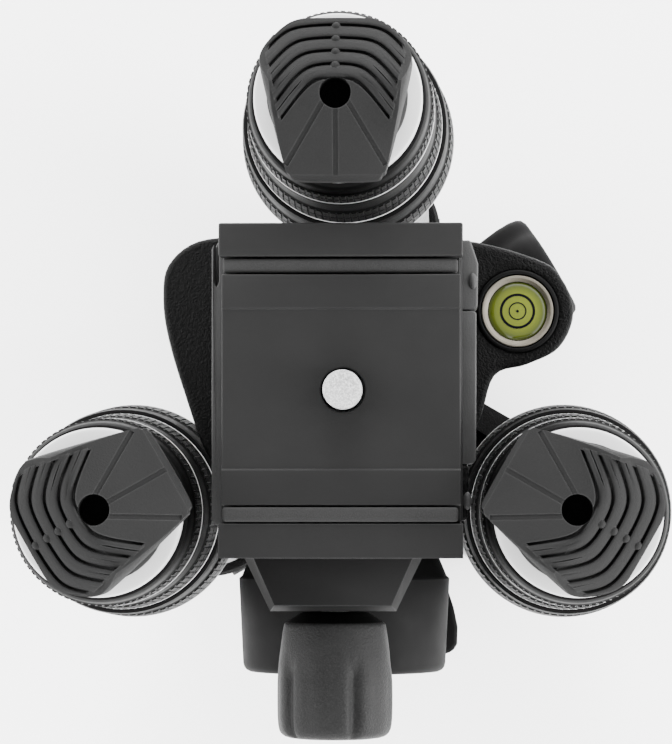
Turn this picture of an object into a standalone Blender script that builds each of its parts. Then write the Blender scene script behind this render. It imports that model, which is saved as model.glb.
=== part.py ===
# Folded travel tripod with a ball head and a quick release adapter.
# Metres, +Z up. The origin is on the tripod's axis, at the face that it stands on when folded.
import math

import bmesh
import bpy
from mathutils import Matrix, Vector

for old in list(bpy.data.objects):
    bpy.data.objects.remove(old, do_unlink=True)

# Clearances
GAP = 0.0003
OVERRUN = 0.002
TURN = 2 * math.pi

# Legs
LEG_CLEARANCE = 0.0046
LEG_NAMES = ("a", "b", "c")
PIN_OFFSET = 0.007
PIN_RADIUS = 0.003
PIN_HEAD_RADIUS = 0.0045
PIN_HEAD_THICKNESS = 0.0015
SHOULDER_RADIUS = 0.016
TONGUE_HALF_WIDTH = 0.010
EAR_THICKNESS = 0.0067
EAR_RADIUS = 0.013
YOKE_RADIUS = 0.017
YOKE_BOTTOM = 0.031
YOKE_FLOOR = 0.036
YOKE_TOP = 0.056
YOKE_CHAMFER = 0.002
TUBE_WALL = 0.0012
TUBE_RADII = {"upper": 0.0143, "second": 0.0128, "third": 0.0113, "fourth": 0.0098}
TUBE_STAGGER = 0.002
COLLAR_PITCH = 0.0264
COLLAR_GAP = 0.0004
COLLAR_RADII = {"1": 0.0158, "2": 0.0173, "3": 0.0187}
COLLAR_TAPER = 0.0009
COLLAR_EDGE = 0.0009
COLLAR_BAND = 0.0092
COLLAR_GROOVE = 0.0006
COLLAR_SHOULDER = 0.0065
FIRST_COLLAR_HEIGHT = 0.0164

# Feet
RING_RADIUS = 0.0138
RING_THICKNESS = 0.0037
RING_CHAMFER = 0.0006
FOOT_BASE_RADIUS = 0.0114
FOOT_BASE_HEIGHT = 0.005
FOOT_HEIGHT = 0.018
FOOT_HALF_WIDTH = 0.0118
FOOT_OUTER_REACH = 0.0114
FOOT_INNER_REACH = 0.0128
FOOT_DRAW_SHARE = 0.86
FOOT_TREAD_COUNT = 5
FOOT_TREAD_PITCH = 0.00230
FOOT_TREAD_START = 0.0008
FOOT_TREAD_HALF_WIDTH = 0.0040
FOOT_TREAD_DROP = 0.0013
FOOT_TREAD_SLOPE = math.radians(53)
FOOT_FAN_SLOPE = math.radians(30)
SPIKE_HOLE_RADIUS = 0.0025
SPIKE_HOLE_DEPTH = 0.009
SPIKE_HOLE_OFFSET = -0.0010

# Angle latches on the yokes
LATCH_HALF_WIDTH = 0.006
LATCH_LENGTH = 0.0115
LATCH_THICKNESS = 0.003
LATCH_TRAVEL = 0.004
LATCH_LIP = 0.0012
BOSS_HALF_WIDTH = 0.0085
BOSS_REACH = 0.0185
BOSS_WALL = 0.0025

# Centre column and spider
DISC_PLANE = 0.362
COLUMN_RADIUS = 0.0125
COLUMN_WALL = 0.0015
COLUMN_TOP = 0.2617
CAP_HEIGHT = 0.009
CAP_PLUG = 0.009
SPIDER_RADIUS = 0.020
SPIDER_TOP = 0.040
SPIDER_CHAMFER = 0.0015
COLUMN_COLLAR_RADIUS = 0.0195
COLUMN_COLLAR_HEIGHT = 0.0196
COLUMN_COLLAR_RIB = 0.0008
COLUMN_COLLAR_RIBS = 16
TOP_PLATE_RADIUS = 0.020
TOP_PLATE_THICKNESS = 0.006

# Ball head
PAN_BASE_RADIUS = 0.0215
PAN_BASE_HEIGHT = 0.0064
HOUSING_RADIUS = 0.0215
HOUSING_CHAMFER = 0.002
BALL_RADIUS = 0.016
BALL_ABOVE_HOUSING = 0.009
STEM_RADIUS = 0.0085
STEM_FLARE_RADIUS = 0.013
STEM_HEIGHT = 0.0138
STEM_FLARE_HEIGHT = 0.003
LOCK_AXIS_BELOW_BALL = 0.006
LOCK_BOSS_RADIUS = 0.0125
LOCK_BOSS_REACH = 0.0325
LOCK_KNOB_START = 0.0340
LOCK_KNOB_END = 0.0510
LOCK_X = -0.0005
LOCK_KNOB_ROOT_RADIUS = 0.0188
LOCK_KNOB_END_RADIUS = 0.0180
LOCK_KNOB_EDGE = 0.0012
BOLT_RADIUS = 0.0025
PAN_AXIS_ABOVE_BASE = 0.0085
PAN_DIRECTION = math.radians(31)
PAN_BOSS_RADIUS = 0.0065
PAN_BOSS_REACH = 0.0285
PAN_KNOB_START = 0.0295
PAN_KNOB_END = 0.0433
PAN_KNOB_RADIUS = 0.0108
PAN_KNOB_LOBES = 5
PAN_KNOB_LOBE_DEPTH = 0.0012

# Level platform
PLATFORM_THICKNESS = 0.0053
PLATFORM_EDGE = 0.0010
PLATFORM_LEFT = 0.0300
PLATFORM_RIGHT = 0.0390
PLATFORM_REAR = 0.0238
PLATFORM_FRONT = 0.0150
LEVEL_CENTRE_X = 0.0296
LEVEL_CENTRE_Y = 0.0112
LEVEL_SEAT_RADIUS = 0.0063
LEVEL_SEAT_DEPTH = 0.0038
BEZEL_RADIUS = 0.0060
BEZEL_WALL = 0.0009
BEZEL_PROUD = 0.0003
VIAL_HEIGHT = 0.0028

# Clamp and camera plate
CLAMP_X = 0.0005
CLAMP_AXIS_X = -0.0009
CLAMP_HALF_WIDTH = 0.0194
CLAMP_REAR = 0.0246
CLAMP_FRONT = 0.0299
CLAMP_BASE_FRONT = 0.0240
CLAMP_BASE_THICKNESS = 0.0110
FLARE_WIDTH = 0.0022
FLARE_REAR = 0.0225
FLARE_FRONT = 0.0100
FLARE_RUN = 0.0035
JAW_REAR_EDGE = 0.0191
JAW_FRONT_EDGE = 0.0243
JAW_DROP = 0.0002
NOSE_ROOT_HALF_WIDTH = 0.0152
NOSE_TIP_HALF_WIDTH = 0.0103
NOSE_REACH = 0.0386
NOSE_CHAMFER = 0.0016
NOSE_DROP = 0.0035
JAW_TRAVEL = 0.004
CLAMP_KNOB_GAP = 0.0006
CLAMP_KNOB_LENGTH = 0.0208
CLAMP_KNOB_CONE_LENGTH = 0.0063
CLAMP_KNOB_PLAIN_LENGTH = 0.0108
CLAMP_KNOB_NECK_RADIUS = 0.0083
CLAMP_KNOB_CONE_RADIUS = 0.0091
CLAMP_KNOB_RADIUS = 0.0097
CLAMP_KNOB_END_RADIUS = 0.0090
CLAMP_KNOB_LOBES = 5
CLAMP_KNOB_LOBE_DEPTH = 0.0009
CLAMP_BOLT_DEPTH = 0.016
PLATE_TOP_REAR = 0.0162
PLATE_TOP_FRONT = 0.0213
PLATE_SHOULDER_REAR = 0.0188
PLATE_SHOULDER_FRONT = 0.0240
PLATE_TAIL = 0.0024
PLATE_THICKNESS = 0.0095
PLATE_SHOULDER_DROP = 0.0050
PLATE_FOOT = 0.0017
PLATE_RECESS_REAR = 0.0106
PLATE_RECESS_FRONT = 0.0155
PLATE_RECESS_DEPTH = 0.0004
PAD_HEIGHT = 0.0028
PAD_END = 0.0006
SCREW_X = 0.0008
SCREW_Y = -0.0026
SCREW_RADIUS = 0.003175
SCREW_PROUD = 0.0055
SCREW_CHAMFER = 0.0006
SCREW_HEAD_RADIUS = 0.0057
SCREW_HEAD_THICKNESS = 0.0028
SCREW_SLOT_WIDTH = 0.0016
SCREW_SLOT_DEPTH = 0.0012
SCREW_CLEARANCE = 0.0004

# Facets
TUBE_SIDES = 20
COLLAR_SIDES = 24
HEAD_SIDES = 28
SMALL_SIDES = 12

# Places that follow from the sizes above
CLAMP_KNOB_START = NOSE_REACH + CLAMP_KNOB_GAP
CLAMP_KNOB_CONE_END = CLAMP_KNOB_START + CLAMP_KNOB_CONE_LENGTH
CLAMP_KNOB_LOBE_START = CLAMP_KNOB_START + CLAMP_KNOB_PLAIN_LENGTH
CLAMP_KNOB_END = CLAMP_KNOB_START + CLAMP_KNOB_LENGTH
LEG_CIRCLE = CLAMP_REAR + COLLAR_RADII["1"] + LEG_CLEARANCE
PIN_CIRCLE = LEG_CIRCLE - PIN_OFFSET
PIN_HEIGHT = SHOULDER_RADIUS
PLATE_BOTTOM = DISC_PLANE - PLATE_THICKNESS
CLAMP_TOP = PLATE_BOTTOM - GAP
CLAMP_BOTTOM = CLAMP_TOP - CLAMP_BASE_THICKNESS
JAW_TOP = DISC_PLANE - JAW_DROP
CLAMP_BOLT_AXIS = (CLAMP_BOTTOM + CLAMP_TOP) / 2
PLATFORM_TOP = CLAMP_BOTTOM - GAP
PLATFORM_BOTTOM = PLATFORM_TOP - PLATFORM_THICKNESS
STEM_TOP = PLATFORM_BOTTOM - GAP
STEM_BOTTOM = STEM_TOP - STEM_HEIGHT
BALL_CENTRE = STEM_BOTTOM - GAP - BALL_RADIUS
TOP_PLATE_TOP = COLUMN_TOP + GAP + TOP_PLATE_THICKNESS
PAN_BASE_BOTTOM = TOP_PLATE_TOP + GAP
PAN_BASE_TOP = PAN_BASE_BOTTOM + PAN_BASE_HEIGHT
HOUSING_BOTTOM = PAN_BASE_TOP + GAP
HOUSING_TOP = BALL_CENTRE + BALL_RADIUS - BALL_ABOVE_HOUSING
HOUSING_WALL_MIDDLE = (HOUSING_RADIUS + BALL_RADIUS + GAP) / 2
LOCK_AXIS = BALL_CENTRE - LOCK_AXIS_BELOW_BALL
PAN_AXIS = HOUSING_BOTTOM + PAN_AXIS_ABOVE_BASE
RING_BOTTOM = DISC_PLANE - RING_THICKNESS

# Where each collar starts and ends, from the foot backwards
COLLAR_TOPS = {"1": RING_BOTTOM - 2 * COLLAR_GAP}
COLLAR_BOTTOMS = {"1": COLLAR_TOPS["1"] - FIRST_COLLAR_HEIGHT}
COLLAR_TOPS["2"] = COLLAR_BOTTOMS["1"] - COLLAR_GAP
COLLAR_BOTTOMS["2"] = COLLAR_TOPS["2"] - COLLAR_PITCH + COLLAR_GAP
COLLAR_TOPS["3"] = COLLAR_BOTTOMS["2"] - COLLAR_GAP
COLLAR_BOTTOMS["3"] = COLLAR_TOPS["3"] - COLLAR_PITCH + COLLAR_GAP

# Colour, roughness and metallic value of each finish
FINISHES = {
    "cast_black": ((0.030, 0.031, 0.033), 0.62, 0.0),
    "anodised_grey": ((0.055, 0.056, 0.060), 0.42, 0.85),
    "tube_black": ((0.020, 0.021, 0.023), 0.38, 0.3),
    "rubber": ((0.060, 0.060, 0.062), 0.80, 0.0),
    "collar_grey": ((0.050, 0.051, 0.054), 0.60, 0.1),
    "bright_metal": ((0.800, 0.800, 0.790), 0.22, 1.0),
    "steel": ((0.550, 0.550, 0.540), 0.35, 1.0),
    "knob_grey": ((0.110, 0.112, 0.116), 0.55, 0.4),
    "vial_green": ((0.480, 0.560, 0.050), 0.10, 0.0),
    "bezel_cream": ((0.650, 0.580, 0.470), 0.40, 0.2),
    "pad_grey": ((0.080, 0.080, 0.082), 0.75, 0.0),
}


def material_of(name, finish):
    """The node's own material."""
    colour, roughness, metallic = FINISHES[finish]
    made = bpy.data.materials.new(name)
    made.use_nodes = True
    shader = made.node_tree.nodes["Principled BSDF"]
    shader.inputs["Base Color"].default_value = (*colour, 1)
    shader.inputs["Roughness"].default_value = roughness
    shader.inputs["Metallic"].default_value = metallic
    return made


def solid(name, shape, finish, origin=(0, 0, 0), parent=None):
    """One node. The shape is in its parent's frame, and the object's origin is on the joint's axis."""
    bmesh.ops.recalc_face_normals(shape, faces=shape.faces)
    bmesh.ops.translate(shape, verts=shape.verts, vec=-Vector(origin))
    mesh = bpy.data.meshes.new(name)
    shape.to_mesh(mesh)
    shape.free()
    mesh.shade_smooth()
    mesh.set_sharp_from_angle(angle=math.radians(35))
    made = bpy.data.objects.new(name, mesh)
    bpy.context.scene.collection.objects.link(made)
    made.location = origin
    made.parent = parent
    if finish:
        mesh.materials.append(material_of(name, finish))
    return made


def combine(target, shape, operation, label):
    """A Boolean of the target with a shape given in the target's parent frame."""
    tool = solid(f"{target.name}_{label}", shape, None, target.location, target.parent)
    tool.hide_render = True
    tool.display_type = "WIRE"
    change = target.modifiers.new(label, "BOOLEAN")
    change.operation = operation
    change.solver = "EXACT"
    change.object = tool


def cut(target, shape, label):
    combine(target, shape, "DIFFERENCE", label)


def join(target, shape, label):
    combine(target, shape, "UNION", label)


def turned(profile, sides=HEAD_SIDES, centre=(0, 0, 0), ring=False):
    """A profile of (radius, height) points turned about the vertical line through centre."""
    shape = bmesh.new()
    points = [shape.verts.new((radius, 0, height)) for radius, height in profile]
    edges = [shape.edges.new(pair) for pair in zip(points, points[1:])]
    if ring:
        edges.append(shape.edges.new((points[-1], points[0])))
    bmesh.ops.spin(
        shape,
        geom=points + edges,
        cent=(0, 0, 0),
        axis=(0, 0, 1),
        angle=TURN,
        steps=sides,
        use_merge=True,
    )
    bmesh.ops.remove_doubles(shape, verts=shape.verts, dist=GAP / 100)
    bmesh.ops.translate(shape, verts=shape.verts, vec=centre)
    return shape


def lofted(loops, ring=False):
    """A skin over closed loops of as many points each, capped at both ends or joined into a ring."""
    shape = bmesh.new()
    rows = [[shape.verts.new(point) for point in loop] for loop in loops]
    pairs = list(zip(rows, rows[1:]))
    if ring:
        pairs.append((rows[-1], rows[0]))
    else:
        shape.faces.new(list(reversed(rows[0])))
        shape.faces.new(rows[-1])
    for lower, upper in pairs:
        for index in range(len(lower)):
            after = (index + 1) % len(lower)
            shape.faces.new((lower[index], lower[after], upper[after], upper[index]))
    return shape


def prism(outline, low, high, axis="Z"):
    """An outline pushed from low to high along an axis. For X the outline holds (y, z) points."""
    shape = bmesh.new()
    if axis == "X":
        corners = [shape.verts.new((low, y, z)) for y, z in outline]
        path = (high - low, 0, 0)
    else:
        corners = [shape.verts.new((x, y, low)) for x, y in outline]
        path = (0, 0, high - low)
    face = shape.faces.new(corners)
    pushed = bmesh.ops.extrude_face_region(shape, geom=[face])
    moved = [item for item in pushed["geom"] if isinstance(item, bmesh.types.BMVert)]
    bmesh.ops.translate(shape, verts=moved, vec=path)
    return shape


def box(x_low, x_high, y_low, y_high, z_low, z_high):
    outline = [(x_low, y_low), (x_high, y_low), (x_high, y_high), (x_low, y_high)]
    return prism(outline, z_low, z_high)


def rod(radius, start, end, height, direction=0.0, sides=SMALL_SIDES, offset=0.0):
    """A round bar that lies level, from start to end outwards along a direction in plan."""
    shape = turned([(0, start), (radius, start), (radius, end), (0, end)], sides)
    lay(shape, direction, height, offset)
    return shape


def lay(shape, direction, height, offset=0.0):
    """Lays an upright shape down: its height becomes a run outwards along the direction."""
    bmesh.ops.rotate(shape, verts=shape.verts, matrix=Matrix.Rotation(math.pi / 2, 3, "Y"))
    bmesh.ops.rotate(shape, verts=shape.verts, matrix=Matrix.Rotation(direction, 3, "Z"))
    bmesh.ops.translate(shape, verts=shape.verts, vec=(offset, 0, height))


def lobed(radius, depth, lobes, height, sides):
    """A round loop whose radius falls between its lobes."""
    points = []
    for index in range(sides):
        angle = TURN * index / sides
        wave = 0.5 - 0.5 * math.cos(lobes * angle)
        reach = radius - depth * wave
        points.append((reach * math.cos(angle), reach * math.sin(angle), height))
    return points


def smooth_loop(points, steps):
    """A closed smooth curve through the points, with a few steps from each to the next."""
    count = len(points)
    curve = []
    for index in range(count):
        before, start, end, after = (Vector(points[(index + k) % count]) for k in (-1, 0, 1, 2))
        for step in range(steps):
            t = step / steps
            a = 2 * start
            b = (end - before) * t
            c = (2 * before - 5 * start + 4 * end - after) * t * t
            d = (3 * start - before - 3 * end + after) * t * t * t
            curve.append((a + b + c + d) / 2)
    return curve


def inset_loop(outline, inset, height):
    """The outline drawn in by a distance, at a height."""
    count = len(outline)
    points = []
    for index, point in enumerate(outline):
        along = outline[(index + 1) % count] - outline[index - 1]
        inward = Vector((-along.y, along.x)).normalized()
        points.append((point.x + inward.x * inset, point.y + inward.y * inset, height))
    return points




def tube(name, radius, wall, low, high, centre, parent, origin):
    inner = radius - wall
    profile = [(radius, high), (radius, low), (inner, low), (inner, high)]
    return solid(name, turned(profile, TUBE_SIDES, centre, True), "tube_black", origin, parent)


# Leg pieces. Each leg is modelled with +Y outwards, and an empty turns it to its place.


def make_yoke(leg, parent, pin):
    """Cast shoulder: a tongue round the hinge pin below, and a socket for the leg tube above."""
    bore = TUBE_RADII["upper"] + GAP
    profile = [
        (0, YOKE_BOTTOM),
        (YOKE_RADIUS - YOKE_CHAMFER, YOKE_BOTTOM),
        (YOKE_RADIUS, YOKE_BOTTOM + YOKE_CHAMFER),
        (YOKE_RADIUS, YOKE_TOP),
        (bore, YOKE_TOP),
        (bore, YOKE_FLOOR),
        (0, YOKE_FLOOR),
    ]
    yoke = solid(
        f"leg_{leg}_yoke", turned(profile, TUBE_SIDES, (0, LEG_CIRCLE, 0)), "cast_black", pin, parent
    )
    shoulder = rod(SHOULDER_RADIUS, -TONGUE_HALF_WIDTH, TONGUE_HALF_WIDTH, PIN_HEIGHT, 0, COLLAR_SIDES)
    bmesh.ops.translate(shoulder, verts=shoulder.verts, vec=(0, PIN_CIRCLE, 0))
    join(yoke, shoulder, "shoulder")
    neck_inner = LEG_CIRCLE - YOKE_RADIUS + YOKE_CHAMFER + GAP
    neck_outer = PIN_CIRCLE + SHOULDER_RADIUS - GAP
    neck = box(
        GAP - TONGUE_HALF_WIDTH,
        TONGUE_HALF_WIDTH - GAP,
        neck_inner,
        neck_outer,
        PIN_HEIGHT,
        YOKE_BOTTOM + YOKE_CHAMFER,
    )
    join(yoke, neck, "neck")
    boss_top = YOKE_TOP + LATCH_TRAVEL / 2
    boss = box(
        -BOSS_HALF_WIDTH,
        BOSS_HALF_WIDTH,
        LEG_CIRCLE + bore + GAP,
        LEG_CIRCLE + BOSS_REACH,
        YOKE_BOTTOM + YOKE_CHAMFER,
        YOKE_TOP - YOKE_CHAMFER,
    )
    join(yoke, boss, "boss")
    slot = box(
        -LATCH_HALF_WIDTH - GAP,
        LATCH_HALF_WIDTH + GAP,
        LEG_CIRCLE + BOSS_REACH - LATCH_THICKNESS + LATCH_LIP / 2,
        LEG_CIRCLE + BOSS_REACH + OVERRUN,
        YOKE_BOTTOM + YOKE_CHAMFER + BOSS_WALL,
        boss_top + OVERRUN,
    )
    cut(yoke, slot, "latch_slot")
    hole = rod(PIN_RADIUS + GAP, -TONGUE_HALF_WIDTH - OVERRUN, TONGUE_HALF_WIDTH + OVERRUN, PIN_HEIGHT)
    bmesh.ops.translate(hole, verts=hole.verts, vec=(0, PIN_CIRCLE, 0))
    cut(yoke, hole, "pin_hole")


def make_latch(leg, parent):
    """Spring tab that sets how far the leg opens."""
    bottom = YOKE_BOTTOM + YOKE_CHAMFER + BOSS_WALL + GAP
    back = LEG_CIRCLE + BOSS_REACH - LATCH_THICKNESS + LATCH_LIP / 2 + GAP
    front = LEG_CIRCLE + BOSS_REACH
    top = bottom + LATCH_LENGTH
    outline = [
        (back, bottom),
        (front, bottom),
        (front + LATCH_LIP / 2, bottom + LATCH_LIP),
        (front, bottom + 2 * LATCH_LIP),
        (front, top - 2 * LATCH_LIP),
        (front + LATCH_LIP, top - LATCH_LIP),
        (front + LATCH_LIP, top),
        (back, top),
    ]
    shape = prism(outline, -LATCH_HALF_WIDTH, LATCH_HALF_WIDTH, "X")
    solid(f"leg_{leg}_angle_latch", shape, "knob_grey", (0, back, bottom), parent)


def make_pin(leg, parent, pin):
    """Hinge pin through both ears, with a head at each end."""
    half = TONGUE_HALF_WIDTH + GAP + EAR_THICKNESS + GAP
    end = half + PIN_HEAD_THICKNESS
    profile = [
        (0, -end),
        (PIN_HEAD_RADIUS, -end),
        (PIN_HEAD_RADIUS, -half),
        (PIN_RADIUS, -half),
        (PIN_RADIUS, half),
        (PIN_HEAD_RADIUS, half),
        (PIN_HEAD_RADIUS, end),
        (0, end),
    ]
    shape = turned(profile, SMALL_SIDES)
    lay(shape, 0, PIN_HEIGHT)
    bmesh.ops.translate(shape, verts=shape.verts, vec=(0, PIN_CIRCLE, 0))
    solid(f"leg_{leg}_hinge_pin", shape, "steel", pin, parent)


def make_collar(leg, number, outer_tube, inner_tube, parent, centre):
    """Twist lock: it grips round the end of one tube and lets the next one through."""
    low = COLLAR_BOTTOMS[number]
    high = COLLAR_TOPS[number]
    radius = COLLAR_RADII[number]
    wide_bore = TUBE_RADII[outer_tube] + GAP
    narrow_bore = TUBE_RADII[inner_tube] + GAP
    step = high - COLLAR_SHOULDER + GAP
    profile = [
        (wide_bore, low),
        (radius - COLLAR_EDGE, low),
        (radius, low + COLLAR_EDGE),
        (radius, low + COLLAR_BAND),
        (radius - COLLAR_GROOVE, low + COLLAR_BAND + COLLAR_GROOVE),
        (radius - COLLAR_TAPER, high - COLLAR_EDGE),
        (radius - COLLAR_TAPER - COLLAR_EDGE, high),
        (narrow_bore, high),
        (narrow_bore, step),
        (wide_bore, step),
    ]
    shape = turned(profile, COLLAR_SIDES, centre, True)
    origin = (centre[0], centre[1], low)
    solid(f"leg_{leg}_collar_{number}", shape, "collar_grey", origin, parent)


def foot_outline():
    """The foot seen along the leg, with its widest place beyond the middle."""
    half_shares = [(0.52, 1.0), (0.86, 0.86), (1.0, 0.52), (0.97, 0.20)]
    inner_shares = [(0.68, -0.86), (0.52, -1.0)]
    right = [(x * FOOT_HALF_WIDTH, y * FOOT_OUTER_REACH) for x, y in half_shares]
    right += [(x * FOOT_HALF_WIDTH, y * FOOT_INNER_REACH) for x, y in inner_shares]
    left = [(-x, y) for x, y in reversed(right)]
    return [(x, LEG_CIRCLE + y) for x, y in left + right]


def make_foot(leg, parent, centre):
    """Rubber foot: a round base, a smooth fan that faces the column, and stepped treads."""
    low = DISC_PLANE + GAP
    top = DISC_PLANE + FOOT_HEIGHT
    base_top = low + FOOT_BASE_HEIGHT
    profile = [(0, low), (FOOT_BASE_RADIUS, low), (FOOT_BASE_RADIUS, base_top), (0, base_top)]
    foot = solid(
        f"leg_{leg}_foot", turned(profile, TUBE_SIDES, centre), "rubber", (0, LEG_CIRCLE, low), parent
    )
    hoof_low = low + FOOT_BASE_HEIGHT / 2
    widest = foot_outline()
    drawn = [(x * FOOT_DRAW_SHARE, LEG_CIRCLE + (y - LEG_CIRCLE) * FOOT_DRAW_SHARE) for x, y in widest]
    hoof = lofted(
        [
            [(x, y, hoof_low) for x, y in drawn],
            [(x, y, base_top + FOOT_BASE_HEIGHT / 2) for x, y in widest],
            [(x, y, top) for x, y in widest],
        ]
    )
    join(foot, hoof, "hoof")
    reach = FOOT_OUTER_REACH + OVERRUN
    side = FOOT_HALF_WIDTH + OVERRUN
    fan_run = FOOT_TREAD_START + FOOT_INNER_REACH + OVERRUN
    fan_start = LEG_CIRCLE + FOOT_TREAD_START
    fan = [
        (fan_start, top),
        (fan_start - fan_run, top - fan_run * math.tan(FOOT_FAN_SLOPE)),
        (fan_start - fan_run, top + OVERRUN),
        (fan_start, top + OVERRUN),
    ]
    cut(foot, prism(fan, -side, side, "X"), "fan")
    for tread in range(FOOT_TREAD_COUNT):
        line = LEG_CIRCLE + FOOT_TREAD_START + tread * FOOT_TREAD_PITCH
        floor = top - (tread + 1) * FOOT_TREAD_DROP
        fall = (side - FOOT_TREAD_HALF_WIDTH) * math.tan(FOOT_TREAD_SLOPE)
        arch = [
            (FOOT_TREAD_HALF_WIDTH, line),
            (side, line - fall),
            (side, LEG_CIRCLE + reach),
            (-side, LEG_CIRCLE + reach),
            (-side, line - fall),
            (-FOOT_TREAD_HALF_WIDTH, line),
        ]
        cut(foot, prism(arch, floor, top + OVERRUN), f"tread_{tread + 1}")
    hole_centre = (0, LEG_CIRCLE + SPIKE_HOLE_OFFSET, 0)
    hole = [
        (0, top - SPIKE_HOLE_DEPTH),
        (SPIKE_HOLE_RADIUS, top - SPIKE_HOLE_DEPTH),
        (SPIKE_HOLE_RADIUS, top + OVERRUN),
        (0, top + OVERRUN),
    ]
    cut(foot, turned(hole, SMALL_SIDES, hole_centre), "spike_hole")


def make_ring(leg, parent, centre):
    """Bright turned ring between the foot and the last tube."""
    profile = [
        (0, RING_BOTTOM),
        (RING_RADIUS - RING_CHAMFER, RING_BOTTOM),
        (RING_RADIUS, RING_BOTTOM + RING_CHAMFER),
        (RING_RADIUS, DISC_PLANE - RING_CHAMFER),
        (RING_RADIUS - RING_CHAMFER, DISC_PLANE),
        (0, DISC_PLANE),
    ]
    shape = turned(profile, COLLAR_SIDES, centre)
    solid(f"leg_{leg}_foot_ring", shape, "bright_metal", (0, LEG_CIRCLE, RING_BOTTOM), parent)


def make_leg(leg, turn):
    place = bpy.data.objects.new(f"leg_{leg}_place", None)
    bpy.context.scene.collection.objects.link(place)
    place.rotation_euler = (0, 0, turn)
    pin = (0, PIN_CIRCLE, PIN_HEIGHT)
    centre = (0, LEG_CIRCLE, 0)
    make_pin(leg, place, pin)
    make_yoke(leg, place, pin)
    make_latch(leg, place)
    ends = {
        "upper": COLLAR_TOPS["3"] - COLLAR_SHOULDER,
        "second": COLLAR_TOPS["2"] - COLLAR_SHOULDER,
        "third": COLLAR_TOPS["1"] - COLLAR_SHOULDER,
        "fourth": RING_BOTTOM - GAP,
    }
    for index, (name, radius) in enumerate(TUBE_RADII.items()):
        low = YOKE_FLOOR + GAP + index * TUBE_STAGGER
        origin = (0, LEG_CIRCLE, low)
        tube(f"leg_{leg}_{name}_tube", radius, TUBE_WALL, low, ends[name], centre, place, origin)
    make_collar(leg, "3", "upper", "second", place, centre)
    make_collar(leg, "2", "second", "third", place, centre)
    make_collar(leg, "1", "third", "fourth", place, centre)
    make_ring(leg, place, centre)
    make_foot(leg, place, centre)


# Column and spider


def make_spider():
    """Casting round the column, with a pair of ears for each leg."""
    bore = COLUMN_RADIUS + GAP
    low = PIN_HEIGHT - EAR_RADIUS
    profile = [
        (bore, low),
        (SPIDER_RADIUS - SPIDER_CHAMFER, low),
        (SPIDER_RADIUS, low + SPIDER_CHAMFER),
        (SPIDER_RADIUS, SPIDER_TOP - SPIDER_CHAMFER),
        (SPIDER_RADIUS - SPIDER_CHAMFER, SPIDER_TOP),
        (bore, SPIDER_TOP),
    ]
    spider = solid("spider", turned(profile, COLLAR_SIDES, ring=True), "cast_black")
    inner = TONGUE_HALF_WIDTH + GAP
    root = (bore + SPIDER_RADIUS) / 2
    for index, leg in enumerate(LEG_NAMES):
        for side, start in (("left", -inner - EAR_THICKNESS), ("right", inner)):
            arc = [
                (
                    PIN_CIRCLE + EAR_RADIUS * math.cos(math.radians(angle)),
                    PIN_HEIGHT + EAR_RADIUS * math.sin(math.radians(angle)),
                )
                for angle in range(-90, 91, 20)
            ]
            outline = [(root - OVERRUN, low)] + arc + [(root - OVERRUN, PIN_HEIGHT + EAR_RADIUS)]
            ear = prism(outline, start, start + EAR_THICKNESS, "X")
            turn = Matrix.Rotation(TURN * index / len(LEG_NAMES), 3, "Z")
            bmesh.ops.rotate(ear, verts=ear.verts, matrix=turn)
            join(spider, ear, f"ear_{leg}_{side}")
    for index, leg in enumerate(LEG_NAMES):
        half = inner + EAR_THICKNESS + OVERRUN
        hole = rod(PIN_RADIUS + GAP, -half, half, PIN_HEIGHT)
        bmesh.ops.translate(hole, verts=hole.verts, vec=(0, PIN_CIRCLE, 0))
        turn = Matrix.Rotation(TURN * index / len(LEG_NAMES), 3, "Z")
        bmesh.ops.rotate(hole, verts=hole.verts, matrix=turn)
        cut(spider, hole, f"pin_hole_{leg}")


def make_column():
    low = CAP_HEIGHT + GAP
    tube("column_tube", COLUMN_RADIUS, COLUMN_WALL, low, COLUMN_TOP, (0, 0, 0), None, (0, 0, low))
    plug = COLUMN_RADIUS - COLUMN_WALL - GAP
    cap = [
        (0, 0),
        (COLUMN_RADIUS - SPIDER_CHAMFER, 0),
        (COLUMN_RADIUS, SPIDER_CHAMFER),
        (COLUMN_RADIUS, CAP_HEIGHT),
        (plug, CAP_HEIGHT),
        (plug, CAP_HEIGHT + CAP_PLUG),
        (0, CAP_HEIGHT + CAP_PLUG),
    ]
    solid("column_cap", turned(cap, TUBE_SIDES), "cast_black")
    plate_low = COLUMN_TOP + GAP
    chamfer = SPIDER_CHAMFER
    plate = [
        (0, plate_low - CAP_PLUG),
        (plug, plate_low - CAP_PLUG),
        (plug, plate_low),
        (TOP_PLATE_RADIUS - chamfer, plate_low),
        (TOP_PLATE_RADIUS, plate_low + chamfer),
        (TOP_PLATE_RADIUS, TOP_PLATE_TOP),
        (0, TOP_PLATE_TOP),
    ]
    solid("column_plate", turned(plate), "cast_black", (0, 0, plate_low))


def make_column_collar():
    """Twist lock that holds the column, with ribs to grip."""
    low = SPIDER_TOP + COLLAR_GAP
    high = low + COLUMN_COLLAR_HEIGHT
    bore = COLUMN_RADIUS + GAP
    sides = 2 * COLUMN_COLLAR_RIBS
    edge = COLLAR_EDGE
    rows = [
        lobed(bore, 0, 1, low, sides),
        lobed(COLUMN_COLLAR_RADIUS - edge, 0, 1, low, sides),
        lobed(COLUMN_COLLAR_RADIUS, COLUMN_COLLAR_RIB, COLUMN_COLLAR_RIBS, low + edge, sides),
        lobed(COLUMN_COLLAR_RADIUS, COLUMN_COLLAR_RIB, COLUMN_COLLAR_RIBS, high - 2 * edge, sides),
        lobed(COLUMN_COLLAR_RADIUS - 2 * edge, 0, 1, high, sides),
        lobed(bore, 0, 1, high, sides),
    ]
    solid("column_collar", lofted(rows, True), "collar_grey", (0, 0, low))


# Ball head


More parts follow.
